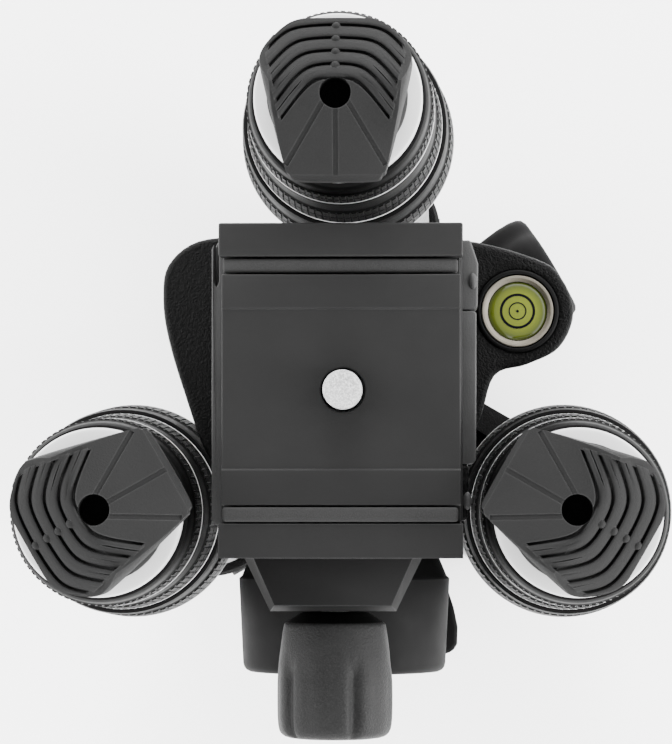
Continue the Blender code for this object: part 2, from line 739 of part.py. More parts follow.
def make_pan_base():
    profile = [
        (0, PAN_BASE_BOTTOM),
        (PAN_BASE_RADIUS - HOUSING_CHAMFER, PAN_BASE_BOTTOM),
        (PAN_BASE_RADIUS, PAN_BASE_BOTTOM + HOUSING_CHAMFER),
        (PAN_BASE_RADIUS, PAN_BASE_TOP),
        (0, PAN_BASE_TOP),
    ]
    solid("pan_base", turned(profile), "cast_black", (0, 0, PAN_BASE_BOTTOM))


def make_housing():
    """Cup round the ball, with bosses for the two locking bolts."""
    socket = BALL_RADIUS + GAP
    lip = math.asin((HOUSING_TOP - BALL_CENTRE) / socket)
    steps = 7
    arc = []
    for index in range(steps + 1):
        angle = lip - (lip + math.pi / 2) * index / steps
        arc.append((socket * math.cos(angle), BALL_CENTRE + socket * math.sin(angle)))
    arc[-1] = (0, BALL_CENTRE - socket)
    profile = [
        (0, HOUSING_BOTTOM),
        (HOUSING_RADIUS, HOUSING_BOTTOM),
        (HOUSING_RADIUS, HOUSING_TOP - 2 * HOUSING_CHAMFER),
        (HOUSING_RADIUS - HOUSING_CHAMFER, HOUSING_TOP - HOUSING_CHAMFER / 2),
        (HOUSING_RADIUS - 2 * HOUSING_CHAMFER, HOUSING_TOP),
    ] + arc
    housing = solid("ball_housing", turned(profile, COLLAR_SIDES), "cast_black")
    wall = HOUSING_WALL_MIDDLE
    front = -math.pi / 2
    lock_boss = rod(LOCK_BOSS_RADIUS, wall, LOCK_BOSS_REACH, LOCK_AXIS, front, TUBE_SIDES, LOCK_X)
    join(housing, lock_boss, "lock_boss")
    pan_root = HOUSING_RADIUS / 2
    pan_boss = rod(PAN_BOSS_RADIUS, pan_root, PAN_BOSS_REACH, PAN_AXIS, PAN_DIRECTION)
    join(housing, pan_boss, "pan_boss")
    bolt = BOLT_RADIUS + GAP
    lock_hole = rod(bolt, wall, LOCK_BOSS_REACH + OVERRUN, LOCK_AXIS, front, offset=LOCK_X)
    cut(housing, lock_hole, "lock_hole")
    pan_hole = rod(bolt, pan_root, PAN_BOSS_REACH + OVERRUN, PAN_AXIS, PAN_DIRECTION)
    cut(housing, pan_hole, "pan_hole")


def make_ball():
    profile = []
    steps = 10
    flat = BALL_RADIUS
    for index in range(steps + 1):
        angle = math.pi / 2 - math.pi * index / steps
        profile.append((flat * math.cos(angle), BALL_CENTRE + flat * math.sin(angle)))
    profile[0] = (0, BALL_CENTRE + flat)
    profile[-1] = (0, BALL_CENTRE - flat)
    solid("ball", turned(profile, TUBE_SIDES), "bright_metal", (0, 0, BALL_CENTRE))
    stem = [
        (0, STEM_BOTTOM),
        (STEM_RADIUS, STEM_BOTTOM),
        (STEM_RADIUS, STEM_TOP - 2 * STEM_FLARE_HEIGHT),
        (STEM_FLARE_RADIUS, STEM_TOP - STEM_FLARE_HEIGHT),
        (STEM_FLARE_RADIUS, STEM_TOP),
        (0, STEM_TOP),
    ]
    solid("ball_stem", turned(stem, TUBE_SIDES), "anodised_grey", (0, 0, BALL_CENTRE))


def make_lock_knob():
    """Large plain knob that locks the ball."""
    bore = BOLT_RADIUS + GAP
    bore_end = LOCK_KNOB_END - 2 * LOCK_KNOB_EDGE
    profile = [
        (bore, LOCK_KNOB_START),
        (LOCK_KNOB_ROOT_RADIUS - LOCK_KNOB_EDGE, LOCK_KNOB_START),
        (LOCK_KNOB_ROOT_RADIUS, LOCK_KNOB_START + LOCK_KNOB_EDGE),
        (LOCK_KNOB_END_RADIUS, LOCK_KNOB_END - LOCK_KNOB_EDGE),
        (LOCK_KNOB_END_RADIUS - LOCK_KNOB_EDGE, LOCK_KNOB_END),
        (0, LOCK_KNOB_END),
        (0, bore_end),
        (bore, bore_end),
    ]
    shape = turned(profile, HEAD_SIDES)
    joined_ends(shape)
    lay(shape, -math.pi / 2, LOCK_AXIS, LOCK_X)
    origin = (LOCK_X, -LOCK_KNOB_START, LOCK_AXIS)
    solid("lock_knob", shape, "knob_grey", origin)
    bolt_start = HOUSING_WALL_MIDDLE + 2 * GAP
    bolt = rod(BOLT_RADIUS, bolt_start, bore_end - GAP, LOCK_AXIS, -math.pi / 2, offset=LOCK_X)
    solid("lock_bolt", bolt, "steel", origin)


def joined_ends(shape):
    """Closes the turned ring between the profile's last point and its first."""
    open_edges = [edge for edge in shape.edges if edge.is_boundary]
    if open_edges:
        bmesh.ops.bridge_loops(shape, edges=open_edges)


def make_pan_knob():
    """Lobed knob that locks the pan."""
    sides = 6 * PAN_KNOB_LOBES
    edge = LOCK_KNOB_EDGE
    radius = PAN_KNOB_RADIUS
    depth = PAN_KNOB_LOBE_DEPTH
    lobes = PAN_KNOB_LOBES
    rows = [
        lobed(radius - 2 * edge, 0, 1, PAN_KNOB_START, sides),
        lobed(radius - edge, depth, lobes, PAN_KNOB_START + 2 * edge, sides),
        lobed(radius, depth, lobes, PAN_KNOB_END - 2 * edge, sides),
        lobed(radius - edge, depth, lobes, PAN_KNOB_END, sides),
    ]
    shape = lofted(rows)
    lay(shape, PAN_DIRECTION, PAN_AXIS)
    start = Vector((PAN_KNOB_START * math.cos(PAN_DIRECTION), PAN_KNOB_START * math.sin(PAN_DIRECTION)))
    knob = solid("pan_knob", shape, "knob_grey", (start.x, start.y, PAN_AXIS))
    bore_end = PAN_KNOB_END - 3 * edge
    bore = rod(BOLT_RADIUS + GAP, PAN_KNOB_START - OVERRUN, bore_end, PAN_AXIS, PAN_DIRECTION)
    cut(knob, bore, "bore")
    bolt_start = HOUSING_RADIUS / 2 + GAP
    bolt = rod(BOLT_RADIUS, bolt_start, bore_end - GAP, PAN_AXIS, PAN_DIRECTION)
    solid("pan_bolt", bolt, "steel", (start.x, start.y, PAN_AXIS))


# Level platform

# Plan of the platform: shares of its reach to the left or right and to the rear or front
PLATFORM_SHARES = [
    (0.0, 1.0),
    (-0.48, 1.0),
    (-0.80, 0.97),
    (-0.97, 0.80),
    (-1.0, 0.56),
    (-0.97, 0.28),
    (-0.88, -0.16),
    (-0.75, -0.86),
    (-0.60, -1.02),
    (0.0, -1.02),
    (0.46, -1.0),
    (0.59, -0.50),
    (0.66, 0.02),
    (0.80, 0.10),
    (0.94, 0.22),
    (1.0, 0.46),
    (0.95, 0.70),
    (0.84, 0.84),
    (0.50, 0.98),
]


def make_platform():
    """Cast shield under the clamp, with a lobe that holds the bubble level."""
    corners = []
    for across, along in PLATFORM_SHARES:
        x = across * (PLATFORM_RIGHT if across > 0 else PLATFORM_LEFT)
        y = along * (PLATFORM_REAR if along > 0 else PLATFORM_FRONT)
        corners.append((x, y))
    outline = smooth_loop(corners, 3)
    low = PLATFORM_BOTTOM
    high = PLATFORM_TOP
    edge = PLATFORM_EDGE
    rows = [
        inset_loop(outline, edge, low),
        inset_loop(outline, 0, low + edge),
        inset_loop(outline, 0, high - edge),
        inset_loop(outline, edge, high),
    ]
    platform = solid("level_platform", lofted(rows), "cast_black", (0, 0, BALL_CENTRE))
    seat_centre = (LEVEL_CENTRE_X, LEVEL_CENTRE_Y, 0)
    floor = high - LEVEL_SEAT_DEPTH
    seat = [
        (0, floor),
        (LEVEL_SEAT_RADIUS, floor),
        (LEVEL_SEAT_RADIUS, high + OVERRUN),
        (0, high + OVERRUN),
    ]
    cut(platform, turned(seat, TUBE_SIDES, seat_centre), "level_seat")
    inner = BEZEL_RADIUS - BEZEL_WALL
    bezel_top = high + BEZEL_PROUD
    bezel = [
        (inner, floor + GAP),
        (BEZEL_RADIUS, floor + GAP),
        (BEZEL_RADIUS, bezel_top),
        (inner, bezel_top),
    ]
    bezel_shape = turned(bezel, TUBE_SIDES, seat_centre, True)
    solid("level_bezel", bezel_shape, "bezel_cream", (LEVEL_CENTRE_X, LEVEL_CENTRE_Y, floor))
    radius = inner - GAP
    vial_low = floor + GAP
    vial_high = vial_low + VIAL_HEIGHT
    crown = BEZEL_PROUD
    vial = [
        (0, vial_low),
        (radius, vial_low),
        (radius, vial_high - crown),
        (radius / 2, vial_high - crown / 3),
        (0, vial_high),
    ]
    vial_shape = turned(vial, TUBE_SIDES, seat_centre)
    solid("level_vial", vial_shape, "vial_green", (LEVEL_CENTRE_X, LEVEL_CENTRE_Y, floor))


# Clamp and plate


def dovetail_inner(edge, sign):
    """The inner face of a jaw, from its top down to the clamp's bed."""
    shoulder = DISC_PLANE - PLATE_SHOULDER_DROP
    slope_foot = PLATE_BOTTOM + PLATE_FOOT + GAP
    run = PLATE_TAIL + GAP / 2
    return [
        (sign * edge, JAW_TOP),
        (sign * edge, shoulder),
        (sign * (edge + run), slope_foot),
        (sign * (edge + run), CLAMP_TOP),
    ]


def make_clamp_base():
    """Bed of the clamp with its fixed jaw, and a cast flare down each side."""
    inner = dovetail_inner(JAW_REAR_EDGE, 1)
    outline = [(-CLAMP_BASE_FRONT, CLAMP_BOTTOM), (-CLAMP_BASE_FRONT, CLAMP_TOP)]
    outline += list(reversed(inner))
    outline += [(CLAMP_REAR, JAW_TOP), (CLAMP_REAR, CLAMP_BOTTOM)]
    shape = prism(outline, CLAMP_X - CLAMP_HALF_WIDTH, CLAMP_X + CLAMP_HALF_WIDTH, "X")
    base = solid("clamp_base", shape, "anodised_grey", (0, 0, BALL_CENTRE))
    flare_top = CLAMP_TOP + PLATE_FOOT
    for side, sign in (("left", -1), ("right", 1)):
        root = CLAMP_X + sign * (CLAMP_HALF_WIDTH - OVERRUN)
        edge = CLAMP_X + sign * CLAMP_HALF_WIDTH
        tip = CLAMP_X + sign * (CLAMP_HALF_WIDTH + FLARE_WIDTH)
        rear = FLARE_REAR
        front = -FLARE_FRONT
        plan = [
            (root, front - FLARE_RUN + GAP),
            (edge, front - FLARE_RUN),
            (tip, front),
            (tip, rear - FLARE_RUN),
            (edge, rear),
            (root, rear - GAP),
        ]
        join(base, prism(plan, CLAMP_BOTTOM + GAP, CLAMP_TOP - GAP), f"flare_{side}")
    hole_end = CLAMP_BASE_FRONT + OVERRUN
    hole_start = CLAMP_BASE_FRONT - CLAMP_BOLT_DEPTH
    hole = rod(BOLT_RADIUS + GAP, hole_start, hole_end, CLAMP_BOLT_AXIS, -math.pi / 2, offset=CLAMP_AXIS_X)
    cut(base, hole, "bolt_hole")


def make_jaw():
    """Moving jaw: a bar with the dovetail's other face, and a nose that meets the knob."""
    inner = dovetail_inner(JAW_FRONT_EDGE, -1)
    bed = CLAMP_BASE_FRONT + GAP
    outline = [(-CLAMP_FRONT, CLAMP_BOTTOM), (-CLAMP_FRONT, JAW_TOP)]
    outline += inner
    outline += [(-bed, CLAMP_TOP), (-bed, CLAMP_BOTTOM)]
    shape = prism(outline, CLAMP_X - CLAMP_HALF_WIDTH, CLAMP_X + CLAMP_HALF_WIDTH, "X")
    jaw = solid("clamp_jaw", shape, "anodised_grey", (0, -CLAMP_FRONT, CLAMP_BOTTOM))
    root = -CLAMP_FRONT + OVERRUN
    top = JAW_TOP - NOSE_DROP
    rows = []
    for inset, height in ((0, CLAMP_BOTTOM + GAP), (0, top - NOSE_CHAMFER), (NOSE_CHAMFER, top)):
        wide = NOSE_ROOT_HALF_WIDTH - inset
        narrow = NOSE_TIP_HALF_WIDTH - inset / 3
        tip = -NOSE_REACH + inset / 2
        rows.append(
            [
                (CLAMP_AXIS_X - wide, root, height),
                (CLAMP_AXIS_X - narrow, tip, height),
                (CLAMP_AXIS_X + narrow, tip, height),
                (CLAMP_AXIS_X + wide, root, height),
            ]
        )
    join(jaw, lofted(rows), "nose")
    hole = rod(
        BOLT_RADIUS + GAP,
        CLAMP_BASE_FRONT - OVERRUN,
        NOSE_REACH + OVERRUN,
        CLAMP_BOLT_AXIS,
        -math.pi / 2,
        offset=CLAMP_AXIS_X,
    )
    cut(jaw, hole, "bolt_hole")


def make_clamp_knob():
    """Knob on the clamp's bolt: a plain cone first, then lobes for the fingers."""
    sides = 6 * CLAMP_KNOB_LOBES
    depth = CLAMP_KNOB_LOBE_DEPTH
    lobes = CLAMP_KNOB_LOBES
    edge = LOCK_KNOB_EDGE
    rows = [
        lobed(CLAMP_KNOB_NECK_RADIUS - edge / 2, 0, 1, CLAMP_KNOB_START, sides),
        lobed(CLAMP_KNOB_NECK_RADIUS, 0, 1, CLAMP_KNOB_START + edge / 2, sides),
        lobed(CLAMP_KNOB_CONE_RADIUS, 0, 1, CLAMP_KNOB_CONE_END, sides),
        lobed(CLAMP_KNOB_RADIUS, depth, lobes, CLAMP_KNOB_LOBE_START, sides),
        lobed(CLAMP_KNOB_RADIUS, depth, lobes, CLAMP_KNOB_END - 3 * edge, sides),
        lobed(CLAMP_KNOB_END_RADIUS, depth, lobes, CLAMP_KNOB_END - edge, sides),
        lobed(CLAMP_KNOB_END_RADIUS - edge, 0, 1, CLAMP_KNOB_END, sides),
    ]
    shape = lofted(rows)
    lay(shape, -math.pi / 2, CLAMP_BOLT_AXIS, CLAMP_AXIS_X)
    origin = (CLAMP_AXIS_X, -CLAMP_KNOB_START, CLAMP_BOLT_AXIS)
    knob = solid("clamp_knob", shape, "knob_grey", origin)
    bore_end = CLAMP_KNOB_END - 3 * edge
    bore = rod(
        BOLT_RADIUS + GAP,
        CLAMP_KNOB_START - OVERRUN,
        bore_end,
        CLAMP_BOLT_AXIS,
        -math.pi / 2,
        offset=CLAMP_AXIS_X,
    )
    cut(knob, bore, "bore")
    bolt_start = CLAMP_BASE_FRONT - CLAMP_BOLT_DEPTH + JAW_TRAVEL
    bolt = rod(
        BOLT_RADIUS,
        bolt_start,
        bore_end - GAP,
        CLAMP_BOLT_AXIS,
        -math.pi / 2,
        offset=CLAMP_AXIS_X,
    )
    solid("clamp_bolt", bolt, "steel", origin)


def make_plate():
    """Camera plate with its dovetail, its recessed top and a bore for the camera screw."""
    shoulder = DISC_PLANE - PLATE_SHOULDER_DROP
    foot = PLATE_BOTTOM + PLATE_FOOT
    recess = DISC_PLANE - PLATE_RECESS_DEPTH
    rear_foot = PLATE_SHOULDER_REAR + PLATE_TAIL
    front_foot = PLATE_SHOULDER_FRONT + PLATE_TAIL
    outline = [
        (-PLATE_TOP_FRONT, DISC_PLANE),
        (-PLATE_RECESS_FRONT, DISC_PLANE),
        (-PLATE_RECESS_FRONT, recess),
        (PLATE_RECESS_REAR, recess),
        (PLATE_RECESS_REAR, DISC_PLANE),
        (PLATE_TOP_REAR, DISC_PLANE),
        (PLATE_TOP_REAR, shoulder),
        (PLATE_SHOULDER_REAR, shoulder),
        (rear_foot, foot),
        (rear_foot, PLATE_BOTTOM),
        (-front_foot, PLATE_BOTTOM),
        (-front_foot, foot),
        (-PLATE_SHOULDER_FRONT, shoulder),
        (-PLATE_TOP_FRONT, shoulder),
    ]
    shape = prism(outline, CLAMP_X - CLAMP_HALF_WIDTH, CLAMP_X + CLAMP_HALF_WIDTH, "X")
    plate = solid("camera_plate", shape, "anodised_grey", (0, 0, PLATE_BOTTOM))
    screw_centre = (SCREW_X, SCREW_Y, 0)
    head_room = PLATE_BOTTOM + GAP + SCREW_HEAD_THICKNESS + GAP
    wide = SCREW_HEAD_RADIUS + GAP
    narrow = SCREW_RADIUS + SCREW_CLEARANCE
    bore = [
        (0, PLATE_BOTTOM - OVERRUN),
        (wide, PLATE_BOTTOM - OVERRUN),
        (wide, head_room),
        (narrow, head_room),
        (narrow, DISC_PLANE + OVERRUN),
        (0, DISC_PLANE + OVERRUN),
    ]
    cut(plate, turned(bore, TUBE_SIDES, screw_centre), "screw_bore")
    low = PLATE_BOTTOM + GAP
    neck = low + SCREW_HEAD_THICKNESS
    top = DISC_PLANE + SCREW_PROUD
    screw = [
        (0, low),
        (SCREW_HEAD_RADIUS, low),
        (SCREW_HEAD_RADIUS, neck),
        (SCREW_RADIUS, neck),
        (SCREW_RADIUS, top - SCREW_CHAMFER),
        (SCREW_RADIUS - SCREW_CHAMFER, top),
        (0, top),
    ]
    screw_shape = turned(screw, TUBE_SIDES, screw_centre)
    screw_node = solid("camera_screw", screw_shape, "steel", (SCREW_X, SCREW_Y, low))
    slot = box(
        SCREW_X - SCREW_HEAD_RADIUS - OVERRUN,
        SCREW_X + SCREW_HEAD_RADIUS + OVERRUN,
        SCREW_Y - SCREW_SLOT_WIDTH / 2,
        SCREW_Y + SCREW_SLOT_WIDTH / 2,
        low - OVERRUN,
        low + SCREW_SLOT_DEPTH,
    )
    cut(screw_node, slot, "slot")
    pad_low = shoulder + GAP
    pads = {
        "rear": (PLATE_TOP_REAR + GAP, PLATE_SHOULDER_REAR),
        "front": (-PLATE_SHOULDER_FRONT, -PLATE_TOP_FRONT - GAP),
    }
    for side, (inner, outer) in pads.items():
        crown = (outer - inner) / 4
        section = [
            (inner, pad_low),
            (outer, pad_low),
            (outer, pad_low + PAD_HEIGHT - crown),
            (outer - crown, pad_low + PAD_HEIGHT),
            (inner + crown, pad_low + PAD_HEIGHT),
            (inner, pad_low + PAD_HEIGHT - crown),
        ]
        half = CLAMP_HALF_WIDTH - PAD_END
        pad = prism(section, CLAMP_X - half, CLAMP_X + half, "X")
        solid(f"plate_pad_{side}", pad, "pad_grey", (0, 0, PLATE_BOTTOM))


for number, leg_name in enumerate(LEG_NAMES):
    make_leg(leg_name, TURN * number / len(LEG_NAMES))
make_spider()
make_column()
make_column_collar()
make_pan_base()
make_housing()
make_ball()
make_lock_knob()
make_pan_knob()
make_platform()
make_clamp_base()
make_jaw()
make_clamp_knob()
make_plate()
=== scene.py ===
import math

import bpy
from mathutils import Matrix, Vector


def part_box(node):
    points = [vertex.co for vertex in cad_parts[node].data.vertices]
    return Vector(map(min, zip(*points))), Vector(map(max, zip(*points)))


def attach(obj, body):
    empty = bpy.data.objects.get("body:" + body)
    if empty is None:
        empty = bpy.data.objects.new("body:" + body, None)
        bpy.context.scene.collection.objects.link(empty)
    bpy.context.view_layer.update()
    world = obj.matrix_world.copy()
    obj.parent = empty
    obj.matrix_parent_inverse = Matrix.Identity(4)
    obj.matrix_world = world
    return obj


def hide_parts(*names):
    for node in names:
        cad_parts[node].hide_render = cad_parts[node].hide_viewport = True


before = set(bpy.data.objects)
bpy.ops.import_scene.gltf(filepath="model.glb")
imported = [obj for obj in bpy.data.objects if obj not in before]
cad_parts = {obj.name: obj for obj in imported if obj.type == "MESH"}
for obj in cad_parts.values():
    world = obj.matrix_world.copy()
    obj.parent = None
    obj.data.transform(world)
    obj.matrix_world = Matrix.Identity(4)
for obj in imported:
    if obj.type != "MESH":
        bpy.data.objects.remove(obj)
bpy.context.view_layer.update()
mm = 0.001
fullTurn = 2 * math.pi
legTurns = {"a": 0, "b": 120, "c": 240}  # degrees round the column, from the leg at +Y
legCircle = 45.0  # mm from the column to each leg
legAxis = (0, legCircle, 0)
print("frame loaded:", len(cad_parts), "nodes")


def read(values, *keys):
    return [values[key] for key in keys]


def bearing(point):  # degrees round the Z axis
    return math.degrees(math.atan2(point.y, point.x))


# Hands on the mesh


def clearPick():
    if bpy.context.object and bpy.context.object.mode != "OBJECT":
        bpy.ops.object.mode_set(mode="OBJECT")
    bpy.ops.object.select_all(action="DESELECT")


def pickOnly(*pieces):
    clearPick()
    for piece in pieces:
        piece.select_set(True)
    bpy.context.view_layer.objects.active = pieces[0]


def linked(name, data):  # a new object in the scene
    thing = bpy.data.objects.new(name, data)
    bpy.context.scene.collection.objects.link(thing)
    return thing


def freeze(piece):  # the place and turn go into the mesh
    pickOnly(piece)
    bpy.ops.object.transform_apply(location=True, rotation=True, scale=True)
    return piece


def placed(piece, place, turn=(0, 0, 0)):  # place in mm and turn in degrees, both put into the mesh
    piece.location = Vector(place) * mm
    piece.rotation_euler = [math.radians(angle) for angle in turn]
    return freeze(piece)


def editAll(piece, kind="VERT"):
    pickOnly(piece)
    bpy.ops.object.mode_set(mode="EDIT")
    bpy.ops.mesh.select_mode(type=kind)
    bpy.ops.mesh.select_all(action="SELECT")


def tidyMesh(piece):  # closes seams and poles, then turns every face outwards
    editAll(piece)
    bpy.ops.mesh.remove_doubles(threshold=0.004 * mm)
    bpy.ops.mesh.normals_make_consistent(inside=False)
    clearPick()
    return piece


def pickWhere(piece, test, kind="VERT"):  # test reads a point, or a face's centre and its normal, in mm
    editAll(piece, kind)
    bpy.ops.mesh.select_all(action="DESELECT")
    bpy.ops.object.mode_set(mode="OBJECT")
    if kind == "FACE":
        for face in piece.data.polygons:
            face.select = bool(test(face.center / mm, face.normal))
    else:
        for point in piece.data.vertices:
            point.select = bool(test(point.co / mm))
    bpy.ops.object.mode_set(mode="EDIT")


def narrowPicked(share):  # draws the picked points towards the Z axis
    bpy.ops.transform.resize(value=(share, share, 1), center_override=(0, 0, 0))


def drawOn(step):
    move = tuple(value * mm for value in step)
    bpy.ops.mesh.extrude_region_move(TRANSFORM_OT_translate={"value": move})


def drawLine(name, corners):  # a plane merged to one point, drawn on from corner to corner in mm
    clearPick()
    bpy.ops.mesh.primitive_plane_add(size=mm)
    piece = bpy.context.object
    piece.name = piece.data.name = name
    bpy.ops.object.mode_set(mode="EDIT")
    bpy.ops.mesh.select_mode(type="VERT")
    bpy.ops.mesh.merge(type="CENTER")
    bpy.ops.transform.translate(value=tuple(value * mm for value in corners[0]))
    for corner, following in zip(corners, corners[1:]):
        drawOn([b - a for a, b in zip(corner, following)])
    bpy.ops.mesh.select_all(action="SELECT")
    return piece


def turned(name, profile, steps=48, centre=(0, 0, 0), towards=(0, 0, 1)):
    # profile: (radius, height) pairs in mm, spun about the axis through centre
    piece = drawLine(name, [(radius, 0, height) for radius, height in profile])
    bpy.ops.mesh.spin(steps=steps, angle=fullTurn, center=(0, 0, 0), axis=(0, 0, 1))
    tidyMesh(piece)
    piece.location = Vector(centre) * mm
    piece.rotation_euler = Vector(towards).to_track_quat("Z", "Y").to_euler()
    return freeze(piece)


def rod(name, radius, low, high, steps, centre=(0, 0, 0), towards=(0, 0, 1)):
    return turned(name, [(0, low), (radius, low), (radius, high), (0, high)], steps, centre, towards)


def turnedRing(name, profile, steps, centre=(0, 0, 0), towards=(0, 0, 1)):  # closes its profile first
    return turned(name, profile + profile[:1], steps, centre, towards)


def prism(name, corners, pull):  # corners in mm, filled and pulled out to a block
    piece = drawLine(name, corners)
    bpy.ops.mesh.edge_face_add()
    drawOn(pull)
    return tidyMesh(piece)


def barAcross(name, section, left, right):  # section: (y, z) pairs, pulled along X
    return prism(name, [(left, y, z) for y, z in section], (right - left, 0, 0))


def block(name, left, right, near, far, low, high):
    return barAcross(name, [(near, low), (far, low), (far, high), (near, high)], left, right)


def slab(name, plan, low, tall):  # plan: (x, y) pairs, pulled upwards
    return prism(name, [(x, y, low) for x, y in plan], (0, 0, tall))


def lofted(name, rings):  # rings of as many points, joined one above the other
    first = rings[0]
    piece = drawLine(name, first)
    bpy.ops.mesh.edge_face_add()
    for _ in rings[1:]:
        drawOn((0, 0, 1))
    bpy.ops.object.mode_set(mode="OBJECT")
    for point in piece.data.vertices:  # each point is over its own corner of the first ring
        here = point.co / mm
        level = round(here.z - first[0][2])
        corner = min(range(len(first)), key=lambda i: (here.xy - Vector(first[i][:2])).length)
        point.co = Vector(rings[level][corner]) * mm
    return tidyMesh(piece)


def cubeAt(place, size):  # a block to cut with
    clearPick()
    bpy.ops.mesh.primitive_cube_add(size=mm, location=[value * mm for value in place], scale=size)
    return freeze(bpy.context.object)


def bead(place, radius, segments, scale=(1, 1, 1)):
    clearPick()
    measures = {"segments": segments, "ring_count": segments // 2, "radius": radius * mm}
    bpy.ops.mesh.primitive_uv_sphere_add(location=[value * mm for value in place], **measures)
    bpy.context.object.scale = scale
    return freeze(bpy.context.object)


def applied(piece, kind, **settings):
    pickOnly(piece)
    modifier = piece.modifiers.new(kind.lower(), kind)
    for key, value in settings.items():
        setattr(modifier, key, value)
    bpy.ops.object.modifier_apply(modifier=modifier.name)
    return piece


def rounded(piece, width, segments=2, angle=32):
    limit = {"limit_method": "ANGLE", "angle_limit": math.radians(angle), "miter_outer": "MITER_ARC"}
    return applied(piece, "BEVEL", width=width * mm, segments=segments, harden_normals=False, **limit)


def smooth(piece, angle=35):
    pickOnly(piece)
    bpy.ops.object.shade_smooth_by_angle(angle=math.radians(angle))
    return piece


def eased(piece, width, segments=2, angle=32, shading=35):  # rounded edges, then smooth shading
    return smooth(rounded(piece, width, segments, angle), shading)


def cutAway(piece, cutter, operation="DIFFERENCE"):
    applied(piece, "BOOLEAN", object=cutter, operation=operation, solver="EXACT")
    bpy.data.objects.remove(cutter)
    return piece


def joined(name, pieces):
    pickOnly(*pieces)
    bpy.ops.object.join()
    pieces[0].name = pieces[0].data.name = name
    return pieces[0]


def dress(piece, body, look, slot, *nodes):  # rides, replaces and paints in one go
    piece.data.materials.clear()
    piece.data.materials.append(finishes[look])
    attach(piece, body)
    if nodes:
        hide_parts(*nodes)
    return piece


def secondFinish(piece, look, test):  # another finish on the faces whose Y, in mm, passes the test
    piece.data.materials.append(finishes[look])
    for face in piece.data.polygons:
        if test(face.center.y / mm):
            face.material_index = len(piece.data.materials) - 1


def onEachLeg(piece, stem, body, look, slot, *nodes):
    # made on the leg at +Y and copied round the column; it rides on the leg's own body or on the spider
    for leg, degrees in legTurns.items():
        copy = linked(f"leg_{leg}_{stem}", piece.data.copy())
        copy.data.name = copy.name
        placed(copy, (0, 0, 0), (0, 0, degrees))
        carrier = body if body == "spider" else f"leg_{leg}_{body}"
        dress(copy, carrier, look, slot, *[f"leg_{leg}_{node}" for node in nodes])
    bpy.data.objects.remove(piece)


# Effects that the finishes share


def feed(tree, socket, value):  # an output is wired to the socket, anything else is set on it
    if isinstance(value, bpy.types.NodeSocket):
        tree.links.new(value, socket)
    else:
        socket.default_value = value


def addNode(tree, kind, sockets, **settings):
    node = tree.nodes.new("ShaderNode" + kind)
    for key, value in settings.items():
        setattr(node, key, value)
    for key, value in sockets.items():
        feed(tree, node.inputs[key], value)
    return node


def newGroup(name, inputs, outputs):  # an input of None takes a vector, the others take numbers
    group = bpy.data.node_groups.new(name, "ShaderNodeTree")
    for label, value in inputs.items():
        kind = "NodeSocketVector" if value is None else "NodeSocketFloat"
        socket = group.interface.new_socket(name=label, in_out="INPUT", socket_type=kind)
        if value is not None:
            socket.default_value = value
    for label in outputs:
        group.interface.new_socket(name=label, in_out="OUTPUT", socket_type="NodeSocketFloat")
    return group, group.nodes.new("NodeGroupInput").outputs, group.nodes.new("NodeGroupOutput").inputs


def mathNode(tree, operation, *values, clamp=False):
    sockets = dict(enumerate(values))
    return addNode(tree, "Math", sockets, operation=operation, use_clamp=clamp).outputs[0]


def buildGrit():  # moulded or sprayed grain: height for the bump, and a speckle mask
    group, start, end = newGroup("grit", {"Vector": None, "Scale": 1500.0}, ("Height", "Speckle"))
    place, scale = start["Vector"], start["Scale"]
    cellSockets = {"Vector": place, "Scale": scale, "Smoothness": 0.6}
    cells = addNode(group, "TexVoronoi", cellSockets, feature="SMOOTH_F1")
    finer = mathNode(group, "MULTIPLY", scale, 1.7)
    fine = addNode(group, "TexNoise", {"Vector": place, "Scale": finer, "Detail": 3.0}).outputs["Fac"]
    hills = mathNode(group, "SUBTRACT", 1.0, cells.outputs["Distance"], clamp=True)
    height = mathNode(group, "ADD", mathNode(group, "MULTIPLY", hills, 0.6), fine)
    feed(group, end["Height"], height)
    speck = mathNode(group, "SUBTRACT", fine, 0.42)
    feed(group, end["Speckle"], mathNode(group, "MULTIPLY", speck, 3.2, clamp=True))
    return group


def buildDrift():  # slow change over the surface, for handling marks and uneven gloss
    inputs = {"Vector": None, "Scale": 60.0, "Low": 0.4, "High": 0.6}
    group, start, end = newGroup("drift", inputs, ("Fac", "Rough"))
    noise = {"Vector": start["Vector"], "Scale": start["Scale"], "Detail": 5.0, "Roughness": 0.6}
    cloud = addNode(group, "TexNoise", noise).outputs["Fac"]
    span = {"Value": cloud, "From Min": 0.3, "From Max": 0.7, "To Min": start["Low"], "To Max": start["High"]}
    feed(group, end["Fac"], cloud)
    feed(group, end["Rough"], addNode(group, "MapRange", span).outputs["Result"])
    return group


def buildRubAndHighlight():  # a mask of the edges: partly worn by hands and straps, partly painted highlight
    group, start, end = newGroup("edgeRubAndHighlight", {"Vector": None, "Width": 0.0004, "Strength": 4.0}, ("Mask",))
    bevel = addNode(group, "Bevel", {"Radius": start["Width"]}, samples=4)
    plain = addNode(group, "NewGeometry", {})
    normals = {0: bevel.outputs["Normal"], 1: plain.outputs["Normal"]}
    dot = addNode(group, "VectorMath", normals, operation="DOT_PRODUCT")
    patch = addNode(group, "TexNoise", {"Vector": start["Vector"], "Scale": 400.0}).outputs["Fac"]
    edge = mathNode(group, "SUBTRACT", 1.0, dot.outputs["Value"])
    edge = mathNode(group, "MULTIPLY", edge, start["Strength"], clamp=True)
    spread = mathNode(group, "ADD", mathNode(group, "MULTIPLY", patch, 1.2), 0.2)
    feed(group, end["Mask"], mathNode(group, "MULTIPLY", edge, spread, clamp=True))
    return group


effects = {"grit": buildGrit(), "drift": buildDrift(), "rubAndHighlight": buildRubAndHighlight()}


def placeEffect(tree, effect, vector, **values):
    return addNode(tree, "Group", {"Vector": vector, **values}, node_tree=effects[effect]).outputs


